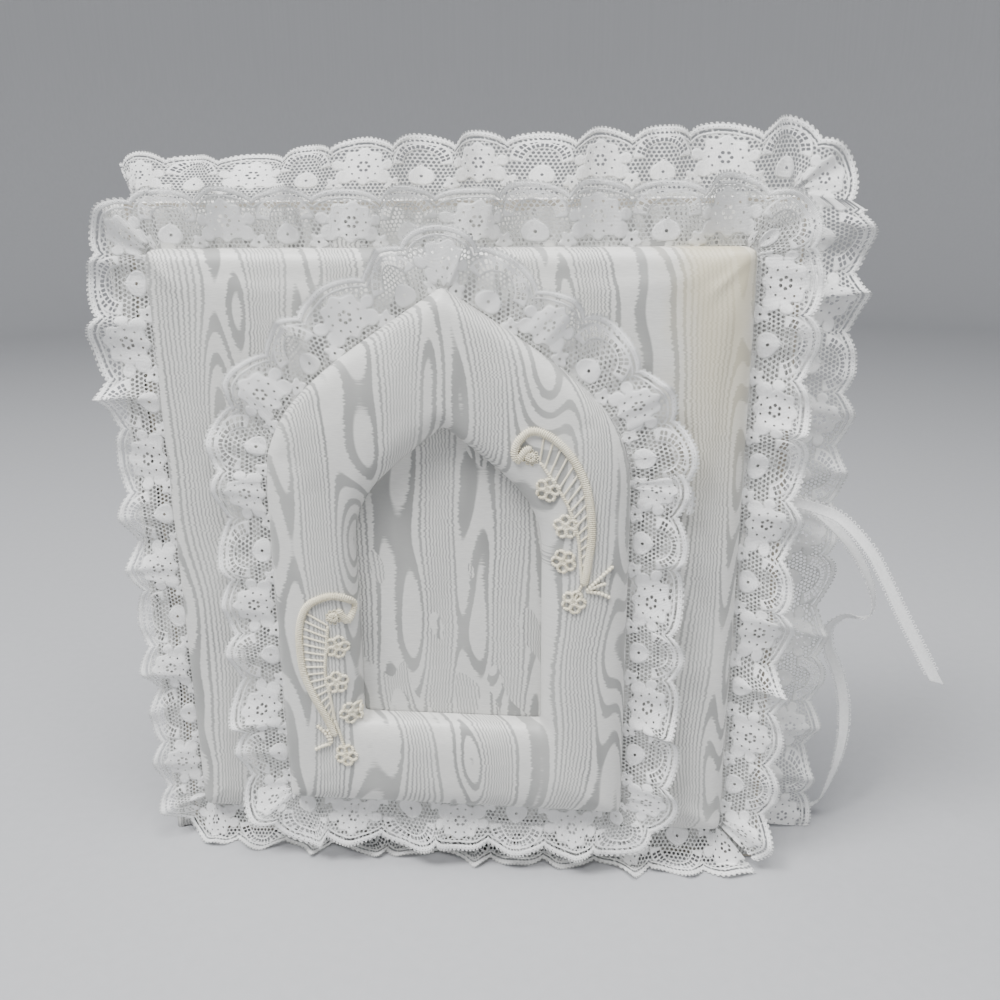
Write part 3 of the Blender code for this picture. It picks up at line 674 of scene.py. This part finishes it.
inside = {
    "board": mottled("greyboard", (0.36, 0.33, 0.28, 1), (0.45, 0.42, 0.36, 1), 700, 0.85, 0.0002),
    "endpaper": mottled("endpaper", (0.80, 0.79, 0.74, 1), (0.86, 0.85, 0.81, 1), 900, 0.72,
                        0.0001),
    "leaf": mottled("leaf_board", (0.78, 0.75, 0.67, 1), (0.84, 0.82, 0.75, 1), 800, 0.6, 0.0001),
    "metal": mottled("drawn_aluminium", (0.62, 0.62, 0.63, 1), (0.74, 0.74, 0.75, 1), 1500, 0.34,
                     0.00005, metallic=1.0, stretch=0.03),
    "batting": mottled("batting", (0.80, 0.80, 0.78, 1), (0.90, 0.90, 0.88, 1), 400, 0.95, 0.0004),
}
for entry in frame["record"]["subparts"]:
    if entry["material_slot"] in inside:
        node = frame["nodes"][entry["node"]]
        node.material_slots[0].material = inside[entry["material_slot"]]


# Lace: a white machine-made edging 39.5 mm wide, all its holes real. From the hem in: a short
# fringe, a bold scalloped rim with a row of eyelets, then in turn an eight-petalled rose and a
# laddered fan on a fine net that runs to the gathered heading. It is drawn up about an eighth
# and stitched down along its heading, so it stands out in soft folds.
LACE_W = 0.0395
LACE_CELL = 0.00050
GATHER = 1.12
SCALLOP_MM = 33.0
SCALLOP_DEPTH_MM = 6.5
NET_MM = 2.50
NET_HOLE_MM = 0.92
RELIEF = 0.00032
FOLD_WAVES = ((0.052, 0.60), (0.034, 0.44), (0.083, 0.30), (0.0195, 0.12))
HEM_WANDER = 0.035         # how far the hem strays in and out, as a share of its reach
FOLD_SWAY = 0.0036         # how far a fold leans along the lace
PUCKER = 0.00022
TABLE_GAP, TABLE_RIPPLE = 0.0007, 0.0012


def nearest_eyelet(u, h, pitch):
    """Distance to the nearest centre of a staggered net."""
    row_gap = pitch * math.sqrt(3) / 2
    best = np.full(np.shape(u), np.inf)
    row = np.floor(h / row_gap)
    for k in (0, 1):
        here = row + k
        shift = (here % 2) * pitch / 2
        across = (u - shift + pitch / 2) % pitch - pitch / 2
        best = np.minimum(best, np.hypot(across, h - here * row_gap))
    return best


def lace_thread(u, h):
    """Thread where above 0, and how raised it is, at u along and h in from the hem, in mm."""
    thread = nearest_eyelet(u, h, NET_MM) - NET_HOLE_MM
    raised = np.full(u.shape, -1.0)

    def lay(shape):
        nonlocal thread, raised
        thread, raised = np.maximum(thread, shape), np.maximum(raised, shape)

    def pierce(holes):
        nonlocal thread
        thread = np.minimum(thread, holes)

    # the rose, centred 19 mm in on every second scallop
    rose_u = (u - SCALLOP_MM / 2 + SCALLOP_MM) % (2 * SCALLOP_MM) - SCALLOP_MM
    rho, turn = np.hypot(rose_u, h - 19.0), np.arctan2(rose_u, 19.0 - h)
    petal = np.cos(turn * 8 + 0.4)
    lay(11.0 + 0.9 * petal - rho)
    for sway in (-1, 1):
        lay(4.4 - np.hypot(rose_u - sway * 10.5, h - 25.5))
        lay(3.3 - np.hypot(rose_u - sway * 13.2, h - 18.0))
    pierce(np.hypot(rho - 2.7, ((turn * 6 / (2 * math.pi)) % 1 - 0.5) * 2.7) - 0.92)
    pierce(np.hypot(rho - 7.6, ((turn * 10 / (2 * math.pi)) % 1 - 0.5) * 4.4) - 0.62)
    # the fan on the others
    fan_u = (u - 3 * SCALLOP_MM / 2 + SCALLOP_MM) % (2 * SCALLOP_MM) - SCALLOP_MM
    rho, turn = np.hypot(fan_u, h - 19.5), np.degrees(np.arctan2(fan_u, 19.5 - h))
    lay(np.minimum(3.4 - np.abs(rho - 12.7), (86 - np.abs(turn)) * 0.2))
    cell = (turn + 11) % 22 - 11
    ladder = np.maximum(np.abs(np.radians(cell)) * rho - 1.8, np.abs(rho - 12.5) - 2.4)
    rungs = np.minimum(np.abs(rho - 12.5), np.abs(np.radians(cell)) * rho) - 0.27
    pierce(np.where(np.abs(turn) < 77, np.maximum(ladder, -rungs), 1.0))
    lay(6.2 + 0.9 * np.cos(np.radians(turn) * 5) - np.hypot(fan_u, h - 26.0))
    pierce(np.hypot(fan_u, h - 26.0) - 0.9)
    # small flowers between them, up in the net
    bud_u = (u + SCALLOP_MM / 2) % SCALLOP_MM - SCALLOP_MM / 2
    rho, turn = np.hypot(bud_u, h - 30.5), np.arctan2(bud_u, h - 30.5)
    lay(4.4 + 0.9 * np.cos(turn * 5) - rho)
    pierce(rho - 0.8)
    # the rim, its eyelets and its fringe follow the scallops
    swing = np.abs(np.cos(math.pi * (u - SCALLOP_MM / 2) / SCALLOP_MM)) ** 0.7
    inward = h - SCALLOP_DEPTH_MM * (1 - swing) - 1.2
    lay(1.35 - np.abs(inward - 1.35))
    lay(0.6 - np.abs(inward - 4.6))
    step = (u + inward * 0.3) % 2.1 - 1.05
    pierce(np.hypot(step, inward - 3.3) - 0.74)
    pierce(np.hypot(step, inward - 1.3) - 0.36)
    thread = np.minimum(thread, inward)
    tooth = np.minimum(0.46 - np.abs(step) * 0.8, np.minimum(inward + 1.15, 0.8 - inward))
    thread = np.maximum(thread, tooth)
    # the heading, a firm edge
    thread = np.maximum(thread, 1.1 - (LACE_W * 1000 - h))
    return thread, np.clip(raised / 0.6, 0, 1)


lace_finish, shader, (x, y, z) = new_finish("lace_cotton", 0.62, sheen=0.25)
laid = x.node("Attribute", {"attribute_name": "laid"}, {}, 1)
along, inward, raised = [laid.node("SeparateXYZ", {}, {0: laid}, k) for k in range(3)]
twist = x.at(x * 1900, y * 1900, z * 1900).noise(1.0)
HATCH = 2 * math.pi / 1.3
hatch = ((along + inward) * HATCH).maths("SINE") * ((along - inward) * HATCH).maths("SINE")
solid = raised.ramp(0.1, 0.9)
thread = (solid * 0.75 + twist * 0.3 + hatch * (solid * 0.13)).ramp(0.0, 1.1)
finish_with(shader, colour=thread.between((0.68, 0.685, 0.67, 1), (0.94, 0.94, 0.93, 1)),
            normal=(twist + hatch * 0.5).bump(0.00022, 0.8))


def folds(u, seed):
    """A gathered edge's rise and fall, from about -1 to 1, and how it leans along."""
    rng = np.random.default_rng(seed)
    rise, lean = np.zeros_like(u), np.zeros_like(u)
    for wave, size in FOLD_WAVES:
        turn = 2 * math.pi * u / wave + rng.uniform(0, 2 * math.pi)
        turn += 0.8 * np.sin(turn * 0.37 + rng.uniform(0, 6))
        rise += size * np.sin(turn)
        lean += size * np.cos(turn) * wave / FOLD_WAVES[0][0]
    return rise, lean


def gathered(runs, start, finish):
    """A gathered line through runs of (x, z, reach, flare), anticlockwise seen from the front.

    Rows are x, z, outward angle, reach, flare and the lace drawn up so far; cuts are the runs'
    ends in drawn lace. start and finish are the outward angles that its two ends fan out to."""
    rows, cuts, drawn, angle = [], [0.0], 0.0, start
    for run in runs:
        run = np.array(run, float)
        rows.append((*run[0, :2], angle, *run[0, 2:], drawn))
        for before, after in zip(run, run[1:]):
            step = after[:2] - before[:2]
            facing = math.degrees(math.atan2(step[1], step[0])) - 90
            facing = angle + (facing - angle + 180) % 360 - 180
            drawn += abs(facing - angle) * FAN_RATE
            angle = facing
            rows.append((*before[:2], angle, *before[2:], drawn))
            drawn += np.linalg.norm(step) * GATHER
            rows.append((*after[:2], angle, *after[2:], drawn))
        cuts.append(drawn)
    finish = angle + (finish - angle + 180) % 360 - 180
    cuts[-1] += abs(finish - angle) * FAN_RATE
    rows.append((*rows[-1][:2], finish, *rows[-1][3:5], cuts[-1]))
    return np.array(rows), cuts


def ruffle(rows, root, seed, height=0.0046, backed=True):
    """Where a ruffle's lace goes: out from its line, forward by its flare, and in folds.

    backed lace lies against what is behind it and can't fold back past its root."""
    def place(u, v, raised):
        x, z, angle, reach, flare = [np.interp(u, rows[:, 5], rows[:, k]) for k in range(5)]
        out = np.column_stack([np.cos(np.radians(angle)), np.sin(np.radians(angle))])
        along = np.column_stack([-out[:, 1], out[:, 0]])
        rise, lean = folds(u, seed)
        slack = np.clip(v, 0, 1) ** 1.25
        spot = np.column_stack([x, z]) + out * (reach * v * (1 + HEM_WANDER * lean))[:, None]
        spot += along * (FOLD_SWAY * slack * lean)[:, None]
        lift = flare * v ** 1.4 + height * slack * rise
        lift += PUCKER * np.sin(u * 610 + v * 4) * np.sin(math.pi * np.clip(v, 0, 1))
        resting = TABLE_GAP + TABLE_RIPPLE * v * (1 - np.cos(u * 290))
        sunk = np.maximum(resting - spot[:, 1], 0)
        if backed:
            lift = np.maximum(lift, -0.0002)
        y = root - lift - 0.8 * sunk - RELIEF * raised
        return np.column_stack([spot[:, 0], y, spot[:, 1] + sunk])
    return place


def make_lace(name, nodes, start, end, place, shift, body, joint=None):
    """The piece of a length of lace from start to end, laid by place; shift moves its pattern."""
    us = np.arange(start, end + LACE_CELL, LACE_CELL)
    hs = np.arange(-0.0001, LACE_W + LACE_CELL, LACE_CELL)
    grid_u, grid_h = np.meshgrid(us, hs)
    thread, _ = lace_thread(grid_u * 1000 + shift, grid_h * 1000)
    ends = np.minimum(grid_u - start, end - grid_u) * 1000 + 0.01
    top = LACE_W * 1000 - grid_h * 1000
    flat, groups = cut_sheet(us, hs, np.minimum.reduce([thread, ends, top]))
    _, raised = lace_thread(flat[:, 0] * 1000 + shift, flat[:, 1] * 1000)
    points = place(flat[:, 0], 1 - flat[:, 1] / LACE_W, raised)
    lace = make_piece(name, points, groups, lace_finish)
    for group in groups:
        u, h = flat[group, 0], flat[group, 1]
    layout = lace.data.uv_layers.new(name="OFBake")
    strips = max(1, round(math.sqrt((end - start) / LACE_W)))
    strip_len = (end - start) / strips
    spots = []
    for group in groups:
        u, h = flat[group, 0], flat[group, 1]
        strip = np.minimum((u.mean(axis=1) - start) // strip_len, strips - 1)[:, None]
        spots.append(np.stack([0.01 + 0.97 * (u - start - strip * strip_len) / strip_len,
                               (strip + 0.02 + 0.94 * h / LACE_W) / strips],
                              axis=-1).reshape(-1, 2))
    layout.data.foreach_set("uv", np.clip(np.vstack(spots), 0, 1).astype(np.float32).ravel())
    laid = lace.data.attributes.new("laid", "FLOAT_VECTOR", "POINT")
    values = np.column_stack([flat * 1000, raised]).astype(np.float32)
    laid.data.foreach_set("vector", values.ravel())
    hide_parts(*nodes)
    if joint:
        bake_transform(lace)
    else:
        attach(lace, body)
    end - start
    return lace


# The panel's ruffle starts and ends at the lower right corner, where its two cut ends meet in a
# point. It leans forward, and along the bottom it is bent forward by the table.
FAN_RATE = 0.00050         # lace drawn in for each degree that a corner turns
HEADING_IN = 0.005
LACE_SEAT, BACK_SEAT = 0.0006, 0.0004
ARCH_FOLD, BACK_FOLD = 0.0036, 0.0060
left, right = panel_low.x + HEADING_IN, panel_high.x - HEADING_IN
foot, head = panel_low.z + HEADING_IN, panel_high.z - HEADING_IN
PANEL_RUNS = (
    ("right", ((right, foot, 0.035, 0.010), (right, (foot + head) / 2, 0.034, 0.009),
               (right, head, 0.036, 0.009))),
    ("top", ((right, head, 0.037, 0.009), (left + 0.13, head, 0.033, 0.008),
             (left, head, 0.034, 0.008))),
    ("left", ((left, head, 0.035, 0.008), (left, head - 0.04, 0.039, 0.009),
              (left, head - 0.10, 0.032, 0.009), (left, foot + 0.06, 0.031, 0.009),
              (left, foot, 0.031, 0.009), (left + 0.006, foot, 0.033, 0.009))),
    ("bottom", ((left + 0.006, foot, 0.033, 0.009), (right, foot, 0.036, 0.012))),
)
rows, cuts = gathered([run for _, run in PANEL_RUNS], -42, -48)
joint_low, joint_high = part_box("front_joint_cloth")
for (label, _), start, end in zip(PANEL_RUNS, cuts, cuts[1:]):
    joint = None
    if label == "left":
        joint = ("binding", "front_cover", (joint_low.x, 0, 0), (joint_high.x, 0, 0))
    make_lace(f"panel_ruffle_{label}", [f"panel_lace_{label}"], start, end,
              ruffle(rows, panel_high.y + LACE_SEAT, 3), 4.0, "front_cover", joint)

# The arch's ruffle starts and ends at its right shoulder, one end lapped over the other, and
# rises in a deep fold over its point.
half_w, base, spring, apex = ARCH
inner = pointed_arch(half_w - HEADING_IN, base + HEADING_IN, spring, apex - 0.008)
tip = int(np.argmax(inner[:, 1]))
reach_at = {"low": (0.0345, 0.009), "side": (0.0335, 0.008), "slope": (0.038, 0.008),
            "tip": (0.037, 0.010)}


def reached(points, *kinds):
    """Adds reach and flare to points, changing evenly from kind to kind along them."""
    share = np.linspace(0, len(kinds) - 1, len(points))
    values = np.array([reach_at[kind] for kind in kinds])
    return [(*point, np.interp(at, range(len(kinds)), values[:, 0]),
             np.interp(at, range(len(kinds)), values[:, 1])) for point, at in zip(points, share)]


ARCH_RUNS = (
    ("right_slope", reached(inner[2:tip + 1], "slope", "slope", "tip")),
    ("left_slope", reached(inner[tip:], "tip", "slope", "slope", "side")),
    ("left", reached([inner[-1], inner[0]], "side", "low")),
    ("bottom", reached(inner[:2], "low", "low")),
    ("right", reached(inner[1:3], "low", "side")),
)
rows, cuts = gathered([run for _, run in ARCH_RUNS], -16, 24)
for (label, _), start, end in zip(ARCH_RUNS, cuts, cuts[1:]):
    make_lace(f"arch_ruffle_{label}", [f"arch_lace_{label}"], start, end,
              ruffle(rows, arch_high.y + LACE_SEAT, 14, ARCH_FOLD), 21.0, "front_cover")

# The back cover's ruffle runs up its fore edge and along its top, and ends over the spine in a
# turned corner. Along the foot it is tucked in under the leaves, folded double.
edge_low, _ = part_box("back_cover_board")
side_x, top_z = back_high.x + 0.0004, back_high.z + 0.0004
turned_x = spine_low.x + 0.004
BACK_RUNS = (
    ("fore_edge", ((side_x, 0.004, 0.036, -0.004), (side_x, 0.12, 0.035, -0.003),
                   (side_x, top_z - 0.004, 0.038, -0.002))),
    ("top", ((side_x - 0.004, top_z, 0.035, -0.003), (side_x - 0.10, top_z, 0.032, -0.005),
             (side_x - 0.21, top_z, 0.030, -0.004), (turned_x + 0.05, top_z, 0.022, -0.016),
             (turned_x, top_z, 0.025, -0.010))),
)
rows, cuts = gathered([run for _, run in BACK_RUNS], -8, 128)
for (label, _), start, end in zip(BACK_RUNS, cuts, cuts[1:]):
    make_lace(f"back_ruffle_{label}", [f"back_lace_{label}"], start, end,
              ruffle(rows, edge_low.y - BACK_SEAT, 27, BACK_FOLD, False), 9.0, "back_cover")


def tucked(u, v, raised):
    """Lace folded double on the table: out under the leaves, then back beneath itself."""
    path = v * LACE_W
    turn = LACE_W / 2
    out = np.where(path < turn, path, LACE_W - path)
    bend = 1 / (1 + np.exp((path - turn) * 2200))
    return np.column_stack([tuck_low.x + u, tuck_high.y - out,
                            0.0007 + 0.0011 * bend + 0.0004 * raised])


tuck_low, tuck_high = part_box("back_lace_tucked")
make_lace("back_ruffle_tucked", ["back_lace_tucked"], 0.0, tuck_high.x - tuck_low.x, tucked, 0.0,
          "back_cover")


# Appliques: two cream guipure paisleys, all heavy corded thread. A whipped band hooks round a
# knotted ball; ladder bars join it to a fine inner cord that carries flowers with looped petals,
# and it ends in a beaded sprig. They are glued to the frame and follow its swell.
BAND_HALF_W, BAND_HALF_H = 0.0019, 0.0011
FINE_HALF = 0.00072
BAR_HALF = 0.00050
BAR_COUNT = 17
PETAL_OUT, PETAL_R, PETAL_HALF = 0.0035, 0.0022, 0.00080
EYE_R, EYE_HALF_H = 0.0006, 0.0007
BALL_R, BALL_TURNS = 0.0026, 2.6
BALL_HALF_W, BALL_HALF_H = 0.0007, 0.0010
PICOTS = 9
PICOT_RING_R, PICOT_HALF_W, PICOT_HALF_H = 0.0007, 0.00028, 0.0003
BEAD_PITCH, BEAD_R = 0.0019, 0.00105
BAND_WHIP, FINE_WHIP, BALL_WHIP, PETAL_WHIP = 0.0010, 0.0012, 0.0011, 0.0009
CORD_SIDES = 8
PLAIN_STEP = 0.0021        # spacing of a plain cord's stations, times seven
APPLIQUES = {
    "right": {
        "band": ((188.7, 218.8), (185.4, 216.3), (182.1, 212.4), (180.8, 216.2), (183.1, 222.0),
                 (189.6, 226.4), (199.4, 222.3), (208.8, 211.9), (215.1, 197.4), (217.4, 177.6),
                 (215.8, 160.3), (214.0, 149.9)),
        "inner": ((192.5, 211.6), (199.6, 201.0), (206.3, 189.3), (210.8, 175.4), (212.4, 160.2),
                  (213.1, 150.4)),
        "ball": (188.3, 213.6),
        "flowers": ((196.3, 198.0), (205.0, 179.8), (204.2, 162.0), (209.3, 141.3)),
        "foot": (215.1, 147.3), "sprigs": ((228.2, 160.1), (225.1, 151.2), (227.2, 143.5)),
    },
    "left": {
        "band": ((90.8, 133.2), (95.0, 126.2), (98.0, 133.9), (94.1, 138.7), (86.6, 140.0),
                 (76.5, 135.4), (71.7, 125.9), (70.3, 113.7), (71.3, 97.9), (75.7, 84.9),
                 (81.8, 71.8), (85.9, 60.8)),
        "inner": ((85.6, 124.2), (83.5, 107.5), (82.7, 95.5), (84.6, 83.0), (86.0, 70.8)),
        "ball": (88.6, 128.6),
        "flowers": ((89.5, 112.2), (88.3, 92.4), (94.7, 74.2), (91.2, 50.3)),
        "foot": (83.5, 56.5), "sprigs": ((74.1, 52.5), (76.2, 67.4), (81.4, 65.3)),
    },
}

guipure, shader, (x, y, z) = new_finish("guipure_cotton", 0.5, sheen=0.3)
strand = x.at(x * 1500, y * 1500, z * 1500).noise(1.0)
tone = x.at(x * 60, y * 60, z * 60).noise()
finish_with(shader, colour=(strand * 0.5 + tone * 0.5).ramp(0.3, 0.7).between(
    (0.70, 0.635, 0.46, 1), (0.88, 0.835, 0.68, 1)), normal=strand.bump(0.0002, 0.8))

graph = bpy.context.evaluated_depsgraph_get()
arch_skin = BVHTree.FromObject(arch, graph)


def on_arch(x, z):
    """World y of the padded frame's face at x and z."""
    hit = arch_skin.ray_cast(Vector((x, -1.0, z)), Vector((0, 1, 0)))[0]
    if hit is None:
        hit = arch_skin.find_nearest(Vector((x, arch_low.y, z)))[0]
    return hit.y


def lay_cord(route, half_w, half_h, whip=0.0, beads=0.0):
    """Points and faces of a cord lying on the frame along (x, z); whip and beads are pitches."""
    spread = np.column_stack([np.array(route)[:, 0], np.zeros(len(route)), np.array(route)[:, 1]])
    _, length = smooth_route(spread, 4)
    count = max(6, int(length / (whip or beads or PLAIN_STEP) * 7))
    centre, _ = smooth_route(spread, count)
    share = np.linspace(0, 1, count)
    height = np.array([on_arch(x, z) for x, _, z in centre])
    near = np.pad(height, 2, mode="edge")
    centre[:, 1] = np.minimum(height, np.convolve(near, np.full(5, 0.2), "valid")) - half_h * 0.55
    tangent = unit(np.gradient(centre, axis=0))
    side = unit(np.cross(tangent, (0, 1, 0)))
    up = np.cross(side, tangent)
    up *= -np.sign(up[:, 1:2])
    turn = np.linspace(0, 2 * math.pi, CORD_SIDES, endpoint=False)
    swell = np.ones((count, CORD_SIDES))
    if whip:
        swell += 0.20 * np.sin((2 * math.pi * share * (length / whip))[:, None] + turn)
    if beads:
        swell *= (0.45 + 0.55 * np.abs(np.sin(math.pi * share * round(length / beads))))[:, None]
    swell *= np.sqrt(np.clip(np.minimum(share, 1 - share) * length / half_w, 0.05, 1))[:, None]
    points = (centre[:, None] + side[:, None] * (np.cos(turn) * swell * half_w)[..., None]
              + up[:, None] * (np.sin(turn) * swell * half_h)[..., None])
    return points.reshape(-1, 3), grid_faces(count, CORD_SIDES, closed=True)


def ring_route(centre, radius, start=0.0, turns=1.0, end_radius=None, steps=14):
    """A circle or spiral of (x, z)."""
    angle = start + np.linspace(0, 2 * math.pi * turns, max(steps, int(steps * turns)))
    grown = np.linspace(radius, radius if end_radius is None else end_radius, len(angle))
    return np.column_stack([centre[0] + grown * np.cos(angle), centre[1] + grown * np.sin(angle)])


def beside(place, distance, angle):
    """The (x, z) at this distance and angle from a place."""
    return (place[0] + distance * math.cos(angle), place[1] + distance * math.sin(angle))


def along_route(route, shares):
    """Places on a route at these shares of its length."""
    route = np.array(route)
    steps = np.concatenate([[0], np.cumsum(np.linalg.norm(np.diff(route, axis=0), axis=1))])
    return [tuple(np.interp(share * steps[-1], steps, route[:, k]) for k in (0, 1))
            for share in shares]


for label, spray in APPLIQUES.items():
    placed = {key: [panel_point(a / 1000, b / 1000) for a, b in np.atleast_2d(value)]
              for key, value in spray.items()}
    band, inner, ball = placed["band"], placed["inner"], placed["ball"][0]
    cords = [(band, BAND_HALF_W, BAND_HALF_H, BAND_WHIP, 0.0),
             (inner, FINE_HALF, FINE_HALF, FINE_WHIP, 0.0)]
    outer_ends = along_route(band[5:], np.linspace(0.06, 0.97, BAR_COUNT))
    inner_ends = along_route(inner, np.linspace(0.0, 0.98, BAR_COUNT))
    cords += [([a, ((a[0] + b[0]) / 2, (a[1] + b[1]) / 2), b], BAR_HALF, BAR_HALF, 0.0, 0.0)
              for a, b in zip(outer_ends, inner_ends)]
    cords.append((ring_route(ball, BALL_R * 0.15, 0, BALL_TURNS, BALL_R * 0.85),
                  BALL_HALF_W, BALL_HALF_H, BALL_WHIP, 0.0))
    for k in range(PICOTS):
        centre = beside(ball, BALL_R * 1.25, 2 * math.pi * k / PICOTS)
        cords.append((ring_route(centre, PICOT_RING_R), PICOT_HALF_W, PICOT_HALF_H, 0.0, 0.0))
    for number, flower in enumerate(placed["flowers"]):
        for k in range(5):
            angle = 2 * math.pi * (k + 0.3 * number) / 5
            centre = beside(flower, PETAL_OUT, angle)
            cords.append((ring_route(centre, PETAL_R, angle), PETAL_HALF, PETAL_HALF,
                          PETAL_WHIP, 0.0))
        cords.append((ring_route(flower, EYE_R), EYE_R, EYE_HALF_H, 0.0, 0.0))
    foot = placed["foot"][0]
    for end in placed["sprigs"]:
        bent = ((foot[0] + end[0]) / 2 + 0.0007, (foot[1] + end[1]) / 2 + 0.0009)
        cords.append(([foot, bent, end], BEAD_R, BEAD_R, 0.0, BEAD_PITCH))
    cords.append(([inner[-1], placed["flowers"][-1]], FINE_HALF, FINE_HALF, FINE_WHIP, 0.0))
    points, faces, total = [], [], 0
    for route, half_w, half_h, whip, beads in cords:
        spots, quads = lay_cord(route, half_w, half_h, whip, beads)
        points.append(spots)
        faces.append(quads + total)
        total += len(spots)
    spray_piece = make_piece(f"guipure_{label}", np.vstack(points), faces, guipure)
    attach(spray_piece, "front_cover")
    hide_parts(f"applique_{label}")


# Studio: a pale matt floor that sweeps up into a round wall, a large key light from the upper
# left, a weak fill from the right and a light just above and before the album.
FLOOR_R = 2.7
SWEEP_R = 0.9
WALL_TOP = 4.2
ROUND_STEPS = 72
LIGHTS = (
    ("key", (-1.1, -1.0, 2.4), 0.9, 92),
    ("fill", (2.3, -1.7, 1.2), 1.6, 10),
    ("top", (0.15, -0.42, 1.55), 0.8, 24),
)
LIT_POINT = (0.0, 0.0, 0.18)
ROOM_COLOUR, ROOM_LIGHT = (0.80, 0.82, 0.85, 1), 0.60
table_top, shader, (x, y, z) = new_finish("table_top", 0.7)
speckle = x.at(x * 150, y * 150, z).noise()
finish_with(shader, colour=speckle.between((0.42, 0.425, 0.44, 1), (0.46, 0.465, 0.48, 1)))
sweep = [(0.01, 0.0), (FLOOR_R, 0.0)]
sweep += [(FLOOR_R + SWEEP_R * math.sin(a), SWEEP_R * (1 - math.cos(a)))
          for a in np.linspace(0, math.pi / 2, 14)[1:]]
sweep += [(FLOOR_R + SWEEP_R, WALL_TOP)]
points = [(r * math.cos(a), r * math.sin(a), z) for r, z in sweep
          for a in np.linspace(0, 2 * math.pi, ROUND_STEPS, endpoint=False)]
centre = grid_faces(len(sweep), ROUND_STEPS, closed=True)
hub = np.arange(ROUND_STEPS)[None, :]
table = make_piece("table", points, [centre, hub], table_top)
for name, place, size, power in LIGHTS:
    lamp = bpy.data.objects.new(name, bpy.data.lights.new(name, "AREA"))
    bpy.context.scene.collection.objects.link(lamp)
    lamp.data.size = size
    lamp.data.energy = power
    lamp.location = place
    aim = Vector(LIT_POINT) - lamp.location
    lamp.rotation_euler = aim.to_track_quat("-Z", "Y").to_euler()
world = bpy.data.worlds.new("room")
world.use_nodes = True
glow = world.node_tree.nodes["Background"].inputs
glow["Color"].default_value = ROOM_COLOUR
glow["Strength"].default_value = ROOM_LIGHT
bpy.context.scene.world = world
